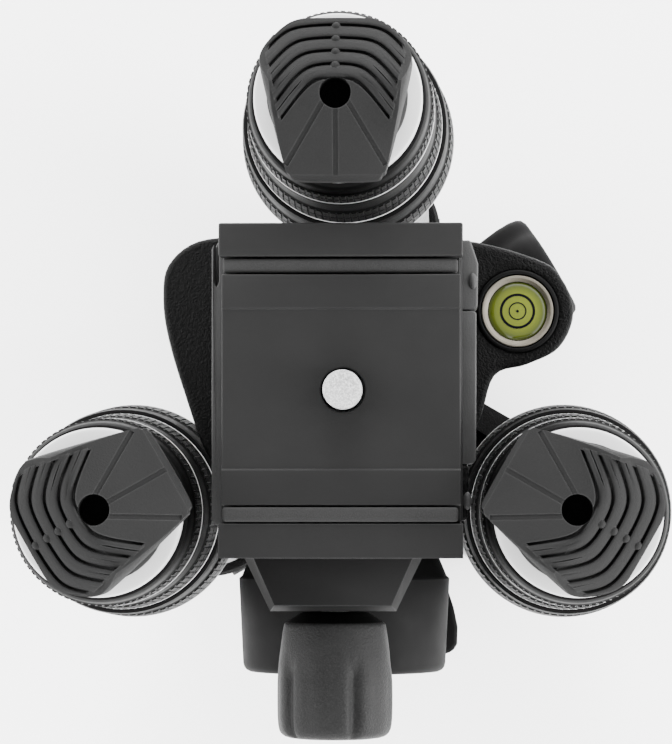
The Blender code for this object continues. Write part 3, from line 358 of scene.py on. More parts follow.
def mixColour(tree, amount, first, second):
    colours = [value + (1.0,) if isinstance(value, tuple) else value for value in (first, second)]
    return addNode(tree, "Mix", {0: amount, 6: colours[0], 7: colours[1]}, data_type="RGBA").outputs[2]


exposure = 0.18  # the studio is bright enough to whiten its floor, so every finish is this much darker


def shade(value):  # a grey as the photograph shows it, 0 to 255, turned to the shader's own scale
    return tuple([round(exposure * (value / 255) ** 2.2, 4)] * 3)


def tinted(red, green, blue):
    return tuple(round(exposure * value, 4) for value in (red, green, blue))


def newMaterial(name):
    material = bpy.data.materials.new(name)
    material.use_nodes = True
    tree = material.node_tree
    place = tree.nodes.new("ShaderNodeTexCoord").outputs["Object"]
    return material, tree, tree.nodes["Principled BSDF"].inputs, place


# what a finish has unless it says otherwise: the edge width in mm is that of the lightened edges, partly worn
# and partly painted highlight
usualFinish = {"drift": 70.0, "rubAndHighlight": 0.35, "wearAndHighlight": 0.8, "speck": 0.35, "bump": 0.6, "metallic": 0.0}


def newFinish(name, dark, light, edge, grain, depth, low, high, **changes):
    # dark and light drift over the surface, edge is the colour of the lightened edges, worn and painted
    # highlight, grain in 1/m
    values = {**usualFinish, **changes}
    dark, light, edge = (shade(tone) if isinstance(tone, int) else tone for tone in (dark, light, edge))
    material, tree, shader, place = newMaterial(name)
    drift = placeEffect(tree, "drift", place, Scale=values["drift"], Low=low, High=high)
    grit = placeEffect(tree, "grit", place, Scale=grain)
    rubAndHighlight = placeEffect(tree, "rubAndHighlight", place, Width=values["rubAndHighlight"] * mm)
    body = mixColour(tree, drift["Fac"], dark, light)
    body = mixColour(tree, mathNode(tree, "MULTIPLY", grit["Speckle"], values["speck"]), body, light)
    # edges lightened towards the edge colour: partly worn, partly painted highlight
    body = mixColour(tree, mathNode(tree, "MULTIPLY", rubAndHighlight["Mask"], values["wearAndHighlight"]), body, edge)
    feed(tree, shader["Base Color"], body)
    feed(tree, shader["Roughness"], drift["Rough"])
    bump = {"Strength": values["bump"], "Distance": depth * mm, "Height": grit["Height"]}
    feed(tree, shader["Normal"], addNode(tree, "Bump", bump).outputs["Normal"])
    shader["Specular IOR Level"].default_value = 0.06
    shader["Metallic"].default_value = values["metallic"]
    return material


def greys(*values):
    return [(value,) * 3 for value in values]


creamTones = ((0.74, 0.66, 0.52), (0.86, 0.79, 0.66), (0.95, 0.91, 0.82))
finishes = {
    "anodised": newFinish("anodisedGrey", 66, 73, 125, 5200.0, 0.015, 0.45, 0.55, metallic=0.1),
    "cast": newFinish("castBlack", 12, 26, 96, 2300.0, 0.16, 0.42, 0.58, bump=1.0, speck=0.8),
    # painted light: a light grey that stands for the side light on the clamp's flanks and studs
    "fillet": newFinish("castGreyPaintedLight", 92, 128, 165, 3200.0, 0.05, 0.4, 0.55, metallic=0.1),
    "pad": newFinish("grainyPad", 62, 98, 135, 3400.0, 0.08, 0.7, 0.85, speck=0.9),
    "rubber": newFinish("footRubber", 50, 70, 104, 2600.0, 0.08, 0.62, 0.78),
    "grip": newFinish("gripRubber", 20, 30, 62, 4200.0, 0.04, 0.5, 0.66),
    "knob": newFinish("sandyKnob", 30, 78, 110, 2600.0, 0.10, 0.45, 0.6, bump=0.9, speck=1.0),
    "satin": newFinish("satinKnob", 18, 26, 84, 4800.0, 0.02, 0.6, 0.75),
    "tube": newFinish("tubeBlack", 26, 36, 70, 6000.0, 0.01, 0.28, 0.4, metallic=0.2),
    "steel": newFinish("castSteel", *greys(0.10, 0.5, 0.6), 1900.0, 0.22, 0.3, 0.5, bump=1.0, speck=0.9),
    "bright": newFinish("turnedBright", *greys(0.3, 0.46, 0.55), 5000.0, 0.004, 0.25, 0.4, drift=24.0),
    "nose": newFinish("noseGrey", 38, 46, 118, 5200.0, 0.02, 0.45, 0.55, metallic=0.1),
    # painted shadow: near-black for faces that lie in shade under other parts
    "shadow": newFinish("paintedShadowBlack", 6, 12, 30, 4000.0, 0.02, 0.6, 0.8),
    "ball": newFinish("polishedBall", 150, 176, 200, 6000.0, 0.002, 0.1, 0.18, metallic=1.0),
    "cream": newFinish(
        "creamRim", *(tinted(*tone) for tone in creamTones), 4000.0, 0.01, 0.25, 0.35, metallic=0.3
    ),
    "paper": newFinish("palePaper", *greys(0.94, 0.96, 0.96), 300.0, 0.02, 0.85, 0.95, speck=0.0),
}


# Camera, light and floor

cameraPlace = {
    "from": (15.8, -19.6, 962.0),
    "at": (-0.3, 0.3, 362.0),
    "lens": 179.2,
    "sensor": 36.0,
    "clip": (0.01, 20.0),
}


def placeCamera():
    data = bpy.data.cameras.new("camera")
    camera = linked("camera", data)
    place, aim = Vector(cameraPlace["from"]), Vector(cameraPlace["at"])
    camera.location = place * mm
    back = (place - aim).normalized()
    across = Vector((0, 1, 0)).cross(back).normalized()  # the picture's top is +Y
    camera.rotation_euler = Matrix((across, back.cross(across), back)).transposed().to_euler()
    data.lens = cameraPlace["lens"]
    data.sensor_width = data.sensor_height = cameraPlace["sensor"]
    data.clip_start, data.clip_end = cameraPlace["clip"]
    bpy.context.scene.camera = camera


softboxes = {  # place and size in metres, watts
    "right": ((1.2, -0.25, 0.7), 0.7, 40.0),
    "left": ((-1.2, 0.1, 0.65), 0.7, 16.0),
    "front": ((0.15, -1.2, 0.7), 0.6, 7.0),
    "rear": ((0.0, 1.2, 0.75), 0.6, 28.0),
}
lightAim = (0, 0, 0.33)
sky = {"From Min": 0.35, "From Max": 0.92, "To Min": 9.6, "To Max": 1.15}  # bright walls, dim ceiling
floorValues = {"size": 8.0, "height": -0.0005}


def placeLights():
    for name, (place, size, power) in softboxes.items():
        data = bpy.data.lights.new(name, "AREA")
        data.shape = "DISK"
        data.size = size
        data.energy = power
        light = linked(name, data)
        light.location = place
        light.rotation_euler = (Vector(lightAim) - light.location).to_track_quat("-Z", "Y").to_euler()
    world = bpy.data.worlds.new("studio")
    world.use_nodes = True
    tree = world.node_tree
    background = tree.nodes["Background"].inputs
    background["Color"].default_value = (1.0, 1.0, 1.0, 1.0)
    coordinates = tree.nodes.new("ShaderNodeTexCoord").outputs["Generated"]
    parts = addNode(tree, "SeparateXYZ", {"Vector": coordinates})
    fade = addNode(tree, "MapRange", {**sky, "Value": parts.outputs["Z"]}, interpolation_type="SMOOTHSTEP")
    feed(tree, background["Strength"], fade.outputs["Result"])
    bpy.context.scene.world = world


def layFloor():
    clearPick()
    bpy.ops.mesh.primitive_plane_add(size=floorValues["size"], location=(0, 0, floorValues["height"]))
    floor = bpy.context.object
    floor.name = "studio_floor"
    floor.data.materials.append(finishes["paper"])


placeCamera()
placeLights()
layFloor()
print("camera, lights and floor set")


# Plate, pads and camera screw

plateValues = {
    "left": -18.9,
    "right": 19.9,
    "edge": 0.3,
    "section": [  # y and z, from the front edge round to the front dovetail
        (-21.3, 362.0), (-15.5, 362.0), (-15.5, 361.6), (10.6, 361.6), (10.6, 362.0),
        (16.2, 362.0), (16.2, 357.0), (18.8, 357.0), (21.2, 354.2), (21.2, 352.5),
        (-26.4, 352.5), (-26.4, 354.2), (-24.0, 357.0), (-21.3, 357.0),
    ],
    "bore": [(0, 350), (6.0, 350), (6.0, 355.9), (3.6, 355.9), (3.6, 361.2), (4.0, 362.4), (0, 362.4)],
    "pads": {"rear": (16.5, 18.8, 357.3, 361.3), "front": (-24.0, -21.6, 357.3, 362.3)},
    "padInsets": (0.15, 0.4),
    "padEdge": 0.55,
}
screwValues = {
    "place": (0.8, -2.6),
    "radius": 3.175,
    "pitch": 1.27,
    "root": 0.5,
    "thread": (356.2, 365.6),
    "head": [(0, 352.9), (5.2, 352.9), (5.7, 353.4), (5.7, 355.6)],
    "slot": (13, 1.6, 2.2),
    "slotHeight": 353.0,
}


def makePlate():
    left, right = read(plateValues, "left", "right")
    plate = barAcross("camera_plate_dressed", plateValues["section"], left, right)
    cutAway(plate, turned("screw_bore", plateValues["bore"], 64, (*screwValues["place"], 0)))
    dress(eased(plate, plateValues["edge"], 3), "plate", "anodised", "anodised_grey", "camera_plate")


def makePads():
    atLeft, atRight = plateValues["padInsets"]
    left, right = plateValues["left"] + atLeft, plateValues["right"] - atRight
    for side, span in plateValues["pads"].items():
        pad = block(f"plate_pad_{side}_dressed", left, right, *span)
        eased(pad, plateValues["padEdge"], 4, shading=50)
        dress(pad, "plate", "pad", "pad_cork", f"plate_pad_{side}")


def makeCameraScrew():
    radius, pitch, (height, end) = read(screwValues, "radius", "pitch", "thread")
    root = radius - screwValues["root"]
    profile = screwValues["head"] + [(root, screwValues["head"][-1][1])]
    while height < end:  # ridges stand for the thread
        profile += [(root, height), (radius, height + 0.4 * pitch), (radius, height + 0.5 * pitch)]
        height += pitch
    profile += [(radius - 0.35, height), (radius - 0.15, height + 0.3), (radius - 0.15, 366.9)]
    profile += [(radius - 0.6, 367.35), (radius - 0.9, 367.4), (2.0, 367.25), (1.0, 367.3), (0, 367.25)]
    x, y = screwValues["place"]
    screw = turned("camera_screw_dressed", profile, 48, (x, y, 0))
    cutAway(screw, cubeAt((x, y, screwValues["slotHeight"]), screwValues["slot"]))
    dress(smooth(screw, 40), "mount_screw", "steel", "steel", "camera_screw")


# Clamp: bed with the rear jaw, moving jaw with its nose, and the knob

clampValues = {
    "left": -19.45,
    "right": 20.3,
    "bottom": 341.2,
    "bedSection": [  # y and z
        (-24.0, 341.2), (-24.0, 352.2), (21.65, 352.2), (21.65, 354.5),
        (19.1, 357.0), (19.1, 361.8), (24.6, 361.8), (24.6, 341.2),
    ],
    "bedEdge": 0.35,
    "jawSection": [
        (-29.9, 341.2), (-29.9, 361.8), (-24.3, 361.8), (-24.3, 357.0),
        (-26.85, 354.5), (-26.85, 352.2), (-24.3, 352.2), (-24.3, 341.2),
    ],
    "jawEdge": 0.5,
    "bolt": (-0.9, 0, 346.7),
    "boltHole": 2.8,
    "bedHole": (8, 26),
    "jawHole": (22, 42),
    "boltRun": (12.15, 56.1),
}
noseValues = {
    "root": 15.2,
    "tip": 10.3,
    "start": -28.5,
    "reach": 38.6,
    "top": 358.3,
    "chamfer": 1.6,
    "tipChamfer": 0.75,
    "edge": -29.95,  # the faces in front of it take a darker copy of the anodised grey
}


def boltHole(run):  # runs forwards along the clamp's screw
    return placed(rod("bolt_hole", clampValues["boltHole"], *run, 32), clampValues["bolt"], (90, 0, 0))


def makeClampBase():
    left, right = read(clampValues, "left", "right")
    base = barAcross("clamp_base_dressed", clampValues["bedSection"], left, right)
    cutAway(base, boltHole(clampValues["bedHole"]))
    dress(eased(base, clampValues["bedEdge"], 3), "head_top", "anodised", "anodised_grey", "clamp_base")


flareValues = {
    "low": 341.0,
    "high": 351.8,
    "root": 1.0,
    "edge": 0.5,
    "plans": {  # y and x of each strip beside the bed, from the front to the rear, with its finish: painted side light on all but the front right strip, which keeps the black casting
        "left": ("fillet", [(-24.6, -20.3), (-23.8, -21.1), (21.0, -21.1), (22.4, -20.4)]),
        "right": ("fillet", [(-14.5, 22.0), (-13.9, 22.5), (10.3, 22.6), (10.7, 22.2)]),
        "right_rear": ("fillet", [(10.9, 22.3), (11.4, 22.8), (18.5, 22.9), (22.4, 21.6)]),
        "right_front": ("cast", [(-23.9, 20.8), (-23.2, 21.1), (-15.3, 21.3), (-14.7, 21.1)]),
    },
    "slot": [(-20.75, 24.0), (-20.75, 15.6), (-20.325, 14.6), (-19.9, 15.6), (-19.9, 24.0)],
    "studs": ((22.0, 15.6), (21.0, -20.6)),
    "studShape": (0.8, 1.5, 0.8),
}


def makeFlares():
    low, high, root = read(flareValues, "low", "high", "root")
    for side, (look, line) in flareValues["plans"].items():
        inside = clampValues["left"] + root if side == "left" else clampValues["right"] - root
        plan = [(inside, line[0][0])] + [(x, y) for y, x in line] + [(inside, line[-1][0])]
        flare = slab(f"clamp_flare_{side}", plan, low, high - low)
        if side == "left":
            cutAway(flare, slab("slot", flareValues["slot"], high - 5.0, 8.0))
        dress(eased(flare, flareValues["edge"], 4, shading=45), "head_top", look, "anodised_grey")
    for index, (x, y) in enumerate(flareValues["studs"]):
        stud = bead((x, y, high - 0.3), 1.0, 24, flareValues["studShape"])
        stud.name = stud.data.name = f"clamp_stud_{index}"
        # the studs take the same painted side light
        dress(smooth(stud, 60), "head_top", "fillet", "anodised_grey")


def makeJaw():
    left, right, bottom = read(clampValues, "left", "right", "bottom")
    bar = barAcross("clamp_jaw_dressed", clampValues["jawSection"], left, right)
    centre, rings = clampValues["bolt"][0], []
    peak, drop, start = read(noseValues, "top", "chamfer", "start")
    steps = ((0, 0, bottom), (0, 0, peak - drop), (drop, noseValues["tipChamfer"], peak))
    for inset, tipInset, height in steps:
        wide, narrow = noseValues["root"] - inset, noseValues["tip"] - tipInset
        tip = 0.6 * inset - noseValues["reach"]
        plan = ((-wide, start), (-narrow, tip), (narrow, tip), (wide, start))
        rings.append([(centre + x, y, height) for x, y in plan])
    cutAway(bar, lofted("nose", rings), "UNION")
    cutAway(bar, boltHole(clampValues["jawHole"]))
    dress(eased(bar, clampValues["jawEdge"], 3), "moving_jaw", "anodised", "anodised_grey", "clamp_jaw")
    secondFinish(bar, "nose", lambda y: y < noseValues["edge"])


clampKnobValues = {
    "lobes": 5,
    "perLobe": 16,
    "turn": 21.5,
    "profile": [
        (0, 38.9), (5.2, 38.9), (5.6, 39.1), (7.9, 40.6), (8.35, 40.8), (8.5, 41.3), (8.85, 43.8),
        (9.1, 45.6), (9.35, 47.6), (9.62, 49.6), (9.7, 50.6), (9.7, 53.0), (9.7, 56.0),
        (9.55, 57.8), (9.2, 58.9), (8.4, 59.6), (7.0, 59.9), (4.0, 60.0), (0, 60.0),
    ],
    "core": 6,
    "notches": [  # height from and to, degrees from a notch's middle from and to, share of the radius left
        (48.5, 59.7, -1, 0.5, 0.875),
        (46.5, 59.2, 4, 5, 0.965),
        (49.0, 58.5, 20, 40, 0.985),
    ],
    "neck": -40.7,
}


def makeClampKnob():
    lobes, core = read(clampKnobValues, "lobes", "core")
    half = 180 / lobes
    knob = turned("clamp_knob_dressed", clampKnobValues["profile"], lobes * clampKnobValues["perLobe"])
    for low, high, near, far, share in clampKnobValues["notches"]:

        def inNotch(point):
            away = abs((bearing(point) + half) % (2 * half) - half)
            return low < point.z < high and near < away < far and point.xy.length > core

        pickWhere(knob, inNotch)
        narrowPicked(share)
    clearPick()
    applied(knob, "SUBSURF", levels=1, render_levels=1)
    placed(knob, (0, 0, 0), (0, 0, 90 - clampKnobValues["turn"]))
    placed(knob, clampValues["bolt"], (90, 0, 0))
    dress(smooth(knob, 60), "clamp_screw", "knob", "knob_grey", "clamp_knob")
    # the knob's root against the jaw is painted near-black: painted shadow
    secondFinish(knob, "shadow", lambda y: y > clampKnobValues["neck"])


makePlate()
makePads()
makeCameraScrew()
makeClampBase()
makeFlares()
makeJaw()
makeClampKnob()
print("plate and clamp made")


# Cast platform with its bubble level

platformValues = {
    "low": 335.6,
    "high": 340.9,
    "left": 30.0,
    "right": 39.0,
    "rear": 23.8,
    "front": 15.0,
    "level": (29.6, 11.2),
    "seat": 6.6,
    "seatDepth": 3.9,
    "edge": 0.9,
    "shares": [  # of the reach to each side
        (0.0, 1.0), (-0.48, 1.0), (-0.80, 0.97), (-0.97, 0.80), (-1.0, 0.56), (-0.97, 0.28),
        (-0.88, -0.16), (-0.75, -0.86), (-0.60, -1.02), (0.0, -1.02), (0.46, -1.0), (0.59, -0.50),
        (0.66, 0.02), (0.80, 0.10), (0.94, 0.22), (1.0, 0.46), (0.95, 0.70), (0.84, 0.84), (0.50, 0.98),
    ],
}


def curved(points, between):  # a closed curve through the points, as a list of corners
    count, line = len(points), []
    for index in range(count):
        before, here, after, last = (Vector(points[(index + step) % count]) for step in (-1, 0, 1, 2))
        slope, bend = after - before, 2 * before - 5 * here + 4 * after - last
        twist = 3 * here - before - 3 * after + last
        for part in range(between):
            t = part / between
            line.append(0.5 * (2 * here + slope * t + bend * t * t + twist * t * t * t))
    return line


def makePlatform():
    low, high = read(platformValues, "low", "high")
    corners = []
    for across, along in platformValues["shares"]:
        side = platformValues["right" if across > 0 else "left"]
        depth = platformValues["rear" if along > 0 else "front"]
        corners.append((across * side, along * depth))
    platform = slab("level_platform_dressed", curved(corners, 5), low, high - low)
    bottom, place = high - platformValues["seatDepth"], (*platformValues["level"], 0)
    cutAway(platform, rod("seat", platformValues["seat"], bottom, high + 1, 72, place))
    eased(platform, platformValues["edge"], 4, 50, 50)
    dress(platform, "head_top", "cast", "cast_black", "level_platform")


levelValues = {
    "vial": 4.9,
    "rim": 6.0,
    "lip": 6.9,
    "marks": {"outer": (2.75, 0.42), "inner": (1.4, 0.2)},  # radius and width
    "crown": (0.55, 0.35),  # the vial's edge below the platform, and how far its middle rises
    "liquidLitToShaded": ((0.46, 0.57, 0.010), (0.43, 0.53, 0.010), (0.13, 0.19, 0.006)),  # middle to edge: the fill's colour, painted light in the middle and painted shade towards the edge
    "liquidStops": (0.62, 0.97),
    "cloud": (0.42, 0.5, 0.05),
    # the vial glows faintly though it is no lamp: painted light
    "paintedGlow": 0.12,
}


def vialWithPaintedLight():  # a clear fill with painted light: brighter in the middle of the vial, painted shade towards its edge, and it glows faintly though it is no lamp
    material, tree, shader, place = newMaterial("vialLiquidPaintedLight")
    middle = tuple(-value * mm for value in platformValues["level"]) + (0.0,)
    shift = addNode(tree, "Mapping", {"Vector": place, "Location": middle}).outputs["Vector"]
    parts = addNode(tree, "SeparateXYZ", {"Vector": shift}).outputs
    squares = [mathNode(tree, "MULTIPLY", parts[i], parts[i]) for i in (0, 1)]
    distance = mathNode(tree, "SQRT", mathNode(tree, "ADD", *squares))
    ramp = addNode(tree, "ValToRGB", {"Fac": mathNode(tree, "DIVIDE", distance, levelValues["vial"] * mm)})
    between, last = levelValues["liquidStops"]
    ramp.color_ramp.elements[1].position = last
    ramp.color_ramp.elements.new(between)
    for stop, tone in zip(ramp.color_ramp.elements, levelValues["liquidLitToShaded"]):
        stop.color = (*tinted(*tone), 1.0)
    drift = placeEffect(tree, "drift", place, Scale=260.0, Low=0.06, High=0.12)
    amount = mathNode(tree, "MULTIPLY", drift["Fac"], 0.3)
    tintWithPaintedLight = mixColour(tree, amount, ramp.outputs["Color"], tinted(*levelValues["cloud"]))
    # the painted light and shade go to the base colour and to the emission
    feed(tree, shader["Base Color"], tintWithPaintedLight)
    feed(tree, shader["Emission Color"], tintWithPaintedLight)
    feed(tree, shader["Roughness"], drift["Rough"])
    shader["Emission Strength"].default_value = levelValues["paintedGlow"]
    shader["Coat Weight"].default_value = 0.25
    shader["Coat Roughness"].default_value = 0.05
    return material


def makeLevel():
    high, place = platformValues["high"], (*platformValues["level"], 0)
    vial, rim, lip, (edge, crown) = read(levelValues, "vial", "rim", "lip", "crown")
    profile = [(vial + 0.1, high - 3.6), (rim, high - 3.6), (rim, high + 0.15), (rim - 0.15, high + 0.3)]
    profile += [(rim - 0.45, high + 0.25), (vial + 0.25, high - 0.35), (vial + 0.1, high - 0.5)]
    bezel = turnedRing("level_bezel_dressed", profile, 96, place)
    dress(smooth(bezel, 40), "head_top", "cream", "bezel_cream", "level_bezel")
    profile = [(rim + 0.08, high - 1.6), (lip + 0.05, high - 1.6), (lip + 0.05, high + 0.1)]
    profile += [(lip - 0.25, high + 0.4), (rim + 0.3, high + 0.35), (rim + 0.08, high - 0.2)]
    seat = turnedRing("level_seat_ring", profile, 96, place)
    dress(smooth(seat, 60), "head_top", "satin", "cast_black")

    def crownAt(share):
        return high - edge + crown * (1 - share * share)

    profile = [(0, high - 3.55), (vial, high - 3.55), (vial, high - 0.75), (vial - 0.2, high - edge)]
    profile += [(vial * share, crownAt(share)) for share in (0.8, 0.6, 0.4, 0.2, 0)]
    glass = turned("level_vial_dressed", profile, 96, place)
    finishes["vial"] = vialWithPaintedLight()
    dress(smooth(glass, 40), "head_top", "vial", "vial_green", "level_vial")
    marks = []
    for name, (middle, width) in levelValues["marks"].items():
        base, near, far = crownAt(middle / vial), middle - width / 2, middle + width / 2
        profile = [(near, base - 0.05), (far, base - 0.08), (far, base + 0.03), (near, base + 0.05)]
        marks.append(turnedRing(f"level_mark_{name}", profile, 72, place))
    dot = [(0, high - 0.3), (0.26, high - 0.3), (0.22, high - 0.12), (0, high - 0.1)]
    marks.append(turned("level_mark_dot", dot, 24, place))
    dress(smooth(joined("level_marks", marks), 40), "head_top", "tube", "cast_black")


makePlatform()
makeLevel()
print("platform and level made")


# Feet, rings and collars: made on the leg at +Y, then copied round

footValues = {
    "low": 362.3,
    "top": 380.0,
    "base": [(0, 0), (10.6, 0), (11.4, 0.8), (11.4, 4.4), (10.8, 5.2), (0, 5.4)],
    "halfWidth": 12.0,
    "outer": 12.0,
    "inner": 14.5,
    "outline": [(0.28, 1.0), (0.50, 0.985), (0.68, 0.90), (0.85, 0.72), (1.0, 0.46), (0.98, 0.16)],
    "innerOutline": [(0.70, -0.80), (0.62, -0.94), (0.46, -1.0)],
    "rim": 1.5,
    "ridges": 5,
    "pitch": 2.3,
    "levelRun": 3.6,
    "levelGrowth": 0.5,
    "firstRidge": 1.35,
    "deep": 1.3,
    "section": [(1.0, 0.85), (0.97, 0.55), (0.86, 0.28), (0.66, 0.09), (0.38, 0.02), (0.12, 0.0)],
    "edge": 0.8,  # the fan and the sole meet this far outside the leg's middle
    "fall": 0.85,
    "fan": 18.0,
    "heel": 13.8,
    "groove": 0.36,
    "hole": 2.5,
    "holeShift": -1.0,
    "fanLines": (-30.0, 0.0, 30.0),
    "channel": (0.85, 13.4, 0.4),
    "bead": 0.75,
}
ridgeLine = legCircle + footValues["edge"]
fanSlope = math.tan(math.radians(footValues["fan"]))
halfFoot = 16  # wider than half a foot, for what cuts right across it


def footOutline(inset=0.0, share=1.0):
    wide, outer, inner = read(footValues, "halfWidth", "outer", "inner")
    half = [(x * wide, y * outer) for x, y in footValues["outline"]]
    half += [(x * wide, y * inner) for x, y in footValues["innerOutline"]]
    right = [(x * share, y * share) for x, y in half]
    left = [(-x, y) for x, y in reversed(right)]
    line = []
    for point in curved(left + right, 4):
        point = point * ((point.length - inset) / point.length)
        line.append((point.x, legCircle + point.y))
    return line


def softStep(value, width):  # nought before 0 and the value itself after it, with a soft turn between
    return width * math.log1p(math.exp(value / width))


def archLine(start, steps=36):  # one tread's line, level in the middle and falling to the sides
    line = []
    side = footValues["halfWidth"] + 1
    level = footValues["levelRun"] + footValues["levelGrowth"] * (start - footValues["firstRidge"])
    for step in range(steps + 1):
        x = -side + 2 * side * step / steps
        fall = 1.12 * softStep(abs(x) - level, 0.9)
        line.append(Vector((x, legCircle + start - fall - 0.010 * x * x)))
    return line


def barOutline(start, share):  # a bar's outline between two arches, with a groove kept beside it
    near, far = archLine(start), archLine(start + footValues["pitch"])
    outer, inner = [], []
    for index, (low, high) in enumerate(zip(near, far)):
        along = near[min(index + 1, len(near) - 1)] - near[max(index - 1, 0)]
        half = (high.y - low.y) / 2 - footValues["groove"] / 2 * along.length / abs(along.x)
        middle = (high.y + low.y) / 2
        outer.append((low.x, middle + half * share))
        inner.append((low.x, middle - half * share))
    return outer + inner[::-1]


def gable(name, lower):  # all that stands above the fan and the sole, which meet in a low ridge
    top, near, far = footValues["top"] - lower, ridgeLine - 15, ridgeLine + 16
    section = [(near, top - 15 * fanSlope), (ridgeLine, top), (far, top - 16 * footValues["fall"])]
    return barAcross(name, section + [(far, top + 7), (near, top + 7)], -halfFoot, halfFoot)


def roofHeight(y):  # the roof with its ridge eased
    sole, fan = (softStep(side, 1.2) for side in (y - ridgeLine, ridgeLine - y))
    return footValues["top"] - max(sole * footValues["fall"] + fan * fanSlope - 0.5, 0.0)


def treadBar(start):  # a bar with a well rounded back that follows one arch and the roof
    rings = [[(x, y, footValues["top"] - 11.2) for x, y in barOutline(start, 1.0)]]
    for share, drop in footValues["section"]:
        rings.append([(x, y, roofHeight(y) - drop) for x, y in barOutline(start, share)])
    return lofted("tread", rings)


def throughFoot(name, plan):  # a plan pulled right through the foot, to cut with
    return slab(name, plan, footValues["top"] - 17.0, 22.0)


def insideRim(name, rim):  # the tread's field: a rim stays beside it, and it is open at its outer end
    plan = []
    for x, y in footOutline(rim):
        out = y - legCircle
        plan.append((x, legCircle + (out * 1.4 if out > 0 else out)))
    return throughFoot(name, plan)


def spikeHole():
    top, place = footValues["top"], (0, legCircle + footValues["holeShift"], 0)
    return rod("spike_hole", footValues["hole"], top - 9, top + 2, 48, place)


def makeFootBody():
    low, top, heel = read(footValues, "low", "top", "heel")
    rows = [(low + 2.5, 0, 0.86), (low + 7.0, 0, 1), (top - 4.0, 0, 1), (top - 1.4, 0.4, 1), (top, 1.0, 1)]
    rings = [[(x, y, height) for x, y in footOutline(inset, share)] for height, inset, share in rows]
    foot = lofted("foot_body", rings)
    base = [(radius, low + rise) for radius, rise in footValues["base"]]
    cutAway(foot, turned("foot_base", base, 64, legAxis), "UNION")
    cutAway(foot, gable("roof", 0))
    back, heelTop = legCircle - heel, top - (heel + footValues["edge"]) * fanSlope
    section = [(back, heelTop), (back - 4, heelTop - 8), (back - 4, heelTop + 8), (back, heelTop + 8)]
    cutAway(foot, barAcross("heel", section, -halfFoot, halfFoot))
    rounded(foot, 0.3, 3, 40)
    for turn in footValues["fanLines"]:  # shallow channels that spread over the smooth face
        channel = placed(cubeAt((0, -9.2, 0), footValues["channel"]), (0, 0, 0), (0, 0, turn))
        cutAway(foot, placed(channel, (0, ridgeLine, top), (footValues["fan"], 0, 0)))
    return foot


def makeFoot():
    first, pitch, count, rim = read(footValues, "firstRidge", "pitch", "ridges", "rim")
    foot = makeFootBody()
    near, far = archLine(first - 0.3), archLine(first + pitch * count + 0.3)
    bed = slab("tread_bed", near + far[::-1], footValues["top"] - 15.0, 19.0)
    cutAway(bed, gable("bed_floor", footValues["deep"]), "INTERSECT")
    cutAway(bed, insideRim("bed_rim", rim), "INTERSECT")
    cutAway(foot, bed)
    cutAway(foot, spikeHole())
    parts = [foot]
    for ridge in range(count):
        bar = treadBar(first + ridge * pitch)
        cutAway(bar, insideRim("tread_end", rim - 0.35), "INTERSECT")
        if ridge > count - 3:
            cutAway(bar, throughFoot("foot_edge", footOutline(0.25)), "INTERSECT")
        if ridge == 0:
            cutAway(bar, spikeHole())
        parts.append(bar)
    for step in range(1, count):  # a small bump across each groove, on the middle line
        y = legCircle + first + step * pitch - 0.35
        parts.append(bead((0, y, roofHeight(y) - 0.4), footValues["bead"], 16))
    foot = smooth(joined("foot_whole", parts), 45)
    onEachLeg(foot, "foot_dressed", "fourth", "rubber", "foot_rubber", "foot")


ringValues = {
    "profile": [
        (9.0, 358.4), (13.2, 358.4), (13.7, 358.8), (13.8, 359.3),
        (13.8, 361.2), (13.55, 361.75), (13.1, 361.98), (9.0, 362.0),
    ],
}


def makeRing():
    ring = turnedRing("ring", ringValues["profile"], 96, legAxis)
    onEachLeg(smooth(ring, 30), "foot_ring_dressed", "fourth", "bright", "bright_metal", "foot_ring")


collarValues = {  # radius, lowest and highest point, the band of knurls and how far it leans in
    "1": {"radius": 15.8, "low": 341.1, "high": 357.5, "band": 9.4, "slant": 0.25},
    "2": {"radius": 17.1, "low": 314.7, "high": 340.7, "band": 11.5, "slant": 0.6},
    "3": {"radius": 19.3, "low": 288.3, "high": 314.3, "band": 11.5, "slant": 0.6},
}
knurlValues = {"count": 84, "inset": 0.15, "slope": 0.08, "depth": 0.2}


